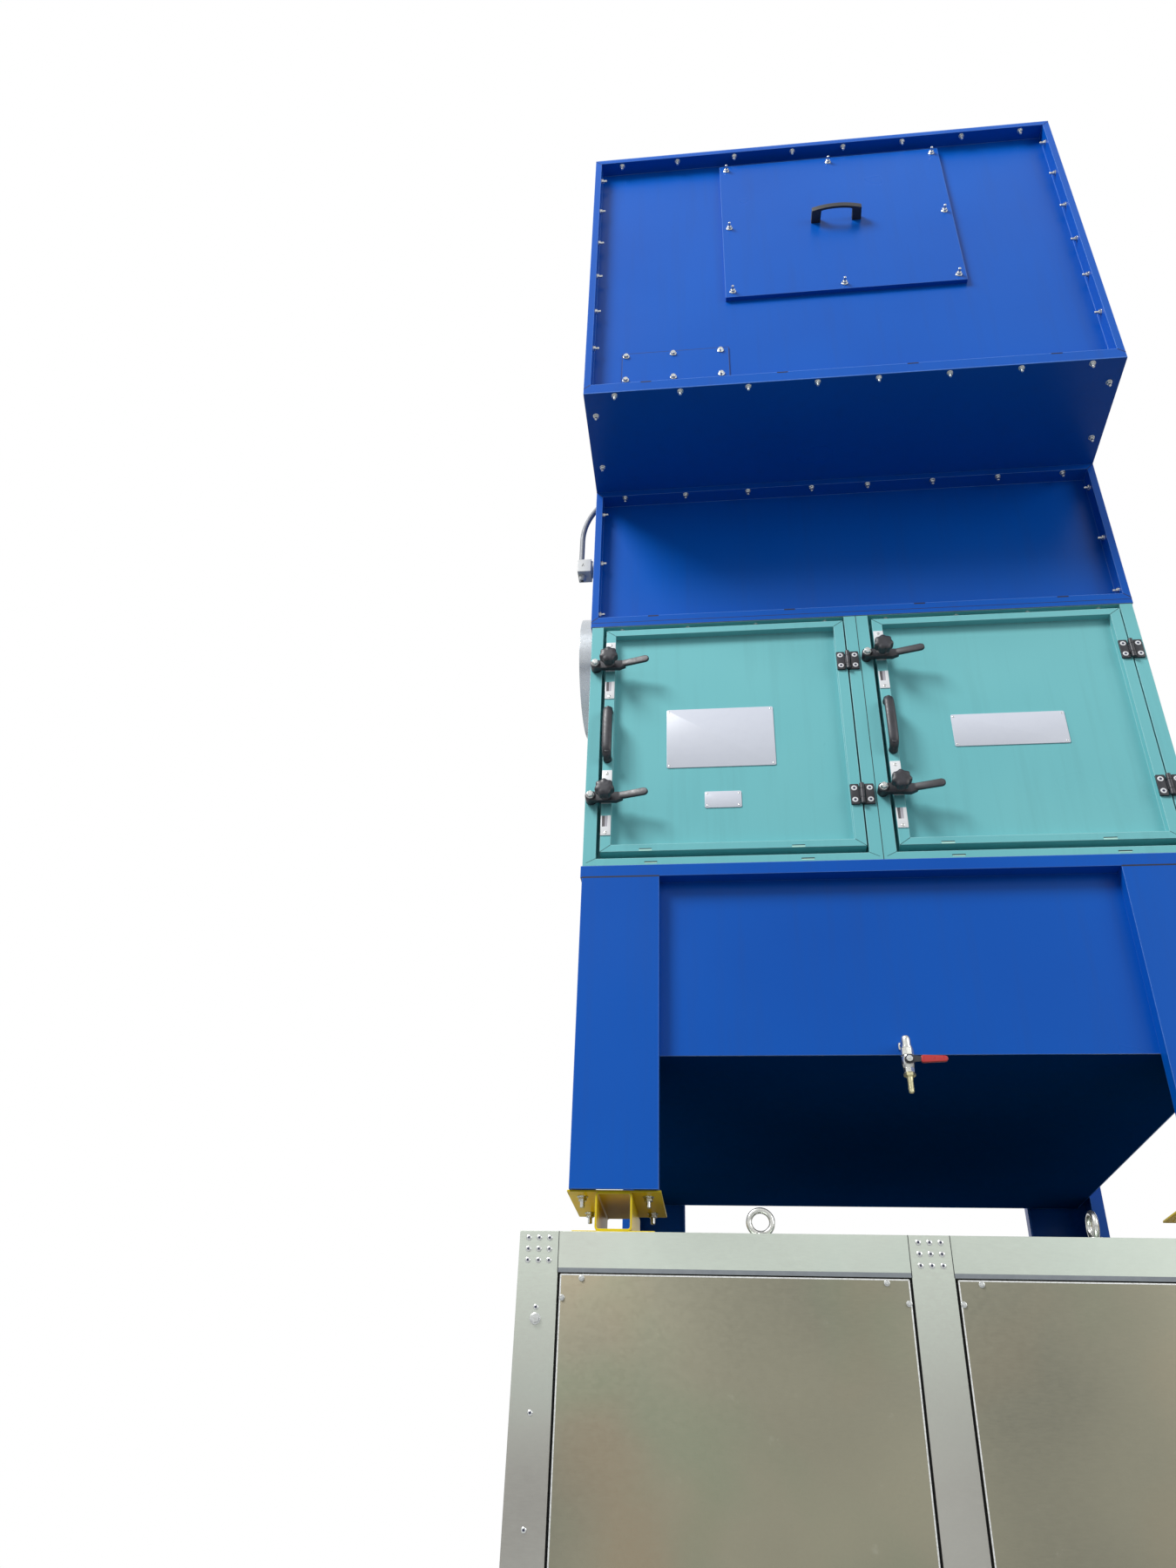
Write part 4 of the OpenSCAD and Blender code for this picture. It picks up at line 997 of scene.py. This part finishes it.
def blue_seams():
    """Mitres, folds and slots in the rims, the plate's edge, and the gap above the front legs."""
    seams = bmesh.new()
    slots = bmesh.new()
    for lo, hi in ((neck_lo, neck_hi), (plenum_lo, plenum_hi)):
        y = lo.y
        fold = lo.z + 20 * MM
        top = lo.z + 36 * MM
        for s in (-1, 1):
            out_x = s * hi.x
            in_x = s * (hi.x - RIM_W)
            strip_into(seams, (out_x, y, fold), (in_x, y, top), FRONT, 2.4)
            strip_into(seams, (out_x, y, hi.z), (in_x, y, hi.z - RIM_W), FRONT, 1.8)
        for x in (-573, -182, 182, 573):
            slot_into(slots, x * MM, top - 2 * MM, 31.0, 4.0, y)
    line = neck_lo.z + 15 * MM
    strip_into(seams, (neck_lo.x, front_y, line), (neck_hi.x, front_y, line), FRONT, 1.6)
    y = blank_lo.y
    corners = [(blank_lo.x, blank_lo.z), (blank_hi.x, blank_lo.z), (blank_hi.x, blank_hi.z),
               (blank_lo.x, blank_hi.z)]
    for a, b in zip(corners, corners[1:] + corners[:1]):
        strip_into(seams, (a[0], y, a[1]), (b[0], y, b[1]), FRONT, 1.4)
    legs_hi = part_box("legs")[1]
    for s in (-1, 1):
        outer = s * legs_hi.x
        strip_into(slots, (outer, front_y, legs_hi.z), (outer - s * LEG_W, front_y, legs_hi.z), FRONT, 4.0)
    piece("blue_seams", seams, "casing", BLUE_SEAM)
    piece("blue_slots", slots, "casing", BLUE_GAP)


def teal_seams():
    """Mitres of the doors and the frames, the joint between the two frames, painted shadow along the frames'
    top under the neck, and slots with lit lips.
    """
    seam = bmesh.new()
    slots = bmesh.new()
    lips = bmesh.new()
    strip_into(seam, (0, front_y, filter_z), (0, front_y, frame_hi.z), FRONT, 2.2)
    for s in (-1, 1):
        for x, t in ((s * half_w, -s), (0, s)):
            a = (x + t * 9 * MM, front_y, filter_z + 9 * MM)
            b = (x + t * 33 * MM, front_y, filter_z + 21 * MM)
            strip_into(seam, a, b, FRONT, 1.2)
    # A dark strip along the frames' top under the neck's rim: painted shadow.
    top_z = frame_hi.z - 1.2 * MM
    strip_into(slots, (-half_w, front_y, top_z), (half_w, front_y, top_z), FRONT, 2.4)
    for x in (-576, -184, 181, 572):
        slot_into(slots, x * MM, filter_z + 8.2 * MM, 33.0)
        slot_into(lips, x * MM, filter_z + 5.2 * MM, 31.0, 2.8)
    piece("teal_seams", seam, "casing", TEAL_SEAM)
    piece("teal_slots", slots, "casing", TEAL_GAP)
    piece("teal_lips", lips, "casing", TEAL_LIP)
    for body in DOORS:
        lo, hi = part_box(body)
        mitres = bmesh.new()
        for x, s in ((lo.x, 1), (hi.x, -1)):
            for z, t in ((lo.z, 1), (hi.z, -1)):
                strip_into(mitres, (x, front_y, z), (x + s * 27 * MM, front_y, z + t * 20 * MM), FRONT, 1.4)
        piece(body + "_mitres", mitres, body, TEAL_SEAM)
        slots = bmesh.new()
        lips = bmesh.new()
        for x in (160, 545):
            slot_into(slots, lo.x + (x - DOOR_LEFT) * MM, lo.z + 6.6 * MM, 33.0, 2.2)
            slot_into(lips, lo.x + (x - DOOR_LEFT) * MM, lo.z + 2.8 * MM, 33.0, 5.0)
        piece(body + "_slots", slots, body, TEAL_GAP)
        piece(body + "_lips", lips, body, TEAL_LIP)


def housing_seams():
    """Joint lines between the posts and the rails."""
    bm = bmesh.new()
    half = post_hi.x
    deep = post_hi.y
    for z0, z1 in ((post_lo.z, post_lo.z + RAIL), (post_hi.z - RAIL, post_hi.z)):
        for s in (-1, 1):
            for u in (half - POST, POST / 2):
                for y, n in ((-deep, FRONT), (deep, BACK)):
                    strip_into(bm, (s * u, y, z0), (s * u, y, z1), n, 1.6)
            for v in (deep - POST, POST / 2):
                for x, n in ((-half, LEFT), (half, RIGHT)):
                    strip_into(bm, (x, s * v, z0), (x, s * v, z1), n, 1.6)
    piece("frame_joints", bm, "casing", DARK_GAP)


wall_panels()
lifting_eyes()
feet()
junction_box()
drain_valve()
drain_lever()
blue_seams()
teal_seams()
housing_seams()


# Floor, light and camera

def seen_directly(tree):
    """1 for rays from the camera, mirror images and views through glass, and 0 for soft light."""
    rays = tree.nodes.new("ShaderNodeLightPath").outputs
    seen = rays["Is Camera Ray"]
    for kind in ("Is Glossy Ray", "Is Transmission Ray"):
        either = tree.nodes.new("ShaderNodeMath")
        either.operation = "MAXIMUM"
        tree.links.new(seen, either.inputs[0])
        tree.links.new(rays[kind], either.inputs[1])
        seen = either.outputs[0]
    return seen


def stage():
    """A pale floor that throws little light back up."""
    bm = bmesh.new()
    bmesh.ops.create_grid(bm, x_segments=1, y_segments=1, size=40.0)
    mesh = bpy.data.meshes.new("studio_floor")
    bm.to_mesh(mesh)
    bm.free()
    s = Shader("studio_floor_paint")
    pale = s.mix(s.noise(0.4), rgb(226, 226, 226), rgb(232, 232, 232))
    tone = s.mix(seen_directly(s.tree), rgb(110, 112, 114), pale)
    s.finish(Base_Color=tone, Roughness=0.8)
    mesh.materials.append(s.material)
    obj = bpy.data.objects.new("studio_floor", mesh)
    bpy.context.scene.collection.objects.link(obj)


def world(ambient):
    """White for what the camera sees and for mirror images, plain grey for soft light."""
    w = bpy.data.worlds.new("studio")
    bpy.context.scene.world = w
    w.use_nodes = True
    tree = w.node_tree
    tree.nodes.clear()
    out = tree.nodes.new("ShaderNodeOutputWorld")
    mix = tree.nodes.new("ShaderNodeMixShader")
    tree.links.new(seen_directly(tree), mix.inputs[0])
    soft = (0.93, 0.96, 1.0, 1.0)
    white = (1.0, 1.0, 1.0, 1.0)
    for slot, colour, strength in ((1, soft, ambient), (2, white, 1.0)):
        light = tree.nodes.new("ShaderNodeBackground")
        light.inputs["Color"].default_value = colour
        light.inputs["Strength"].default_value = strength
        tree.links.new(light.outputs[0], mix.inputs[slot])
    tree.links.new(mix.outputs[0], out.inputs["Surface"])


def lamp(name, at, target, size, power):
    light = bpy.data.lights.new(name, "AREA")
    light.shape = "DISK"
    light.size = size
    light.energy = power
    obj = bpy.data.objects.new(name, light)
    obj.location = at
    obj.rotation_euler = (Vector(target) - Vector(at)).to_track_quat("-Z", "Y").to_euler()
    bpy.context.scene.collection.objects.link(obj)


EYE = (-0.402, -3.333, 1.610)
YAW = 7.57
PITCH = 32.79
ROLL = 2.35
LENS = 26.71


def camera():
    """The photograph's camera, solved from the casing's straight edges."""
    yaw = math.radians(YAW)
    pitch = math.radians(PITCH)
    roll = math.radians(ROLL)
    right = Vector((math.cos(yaw), math.sin(yaw), 0))
    level = Vector((-math.sin(yaw), math.cos(yaw), 0))
    ahead = level * math.cos(pitch) + UP * math.sin(pitch)
    above = UP * math.cos(pitch) - level * math.sin(pitch)
    x_axis = right * math.cos(roll) + above * math.sin(roll)
    y_axis = above * math.cos(roll) - right * math.sin(roll)
    turn = Matrix((x_axis, y_axis, -ahead)).transposed()
    data = bpy.data.cameras.new("photo_camera")
    data.sensor_width = 36.0
    data.lens = LENS
    data.clip_end = 200.0
    obj = bpy.data.objects.new("photo_camera", data)
    obj.matrix_world = Matrix.Translation(EYE) @ turn.to_4x4()
    bpy.context.scene.collection.objects.link(obj)
    bpy.context.scene.camera = obj


stage()
world(0.42)
lamp("key", (-5.4, -6.2, 10.4), (0, -0.5, 3.2), 4.0, 1120)
lamp("fill", (6.5, -6.0, 5.5), (0, 0, 2.8), 5.0, 200)
lamp("back", (1.5, 7.0, 8.5), (0, 0, 3.0), 5.0, 380)
camera()
bpy.context.scene.view_settings.view_transform = "Standard"
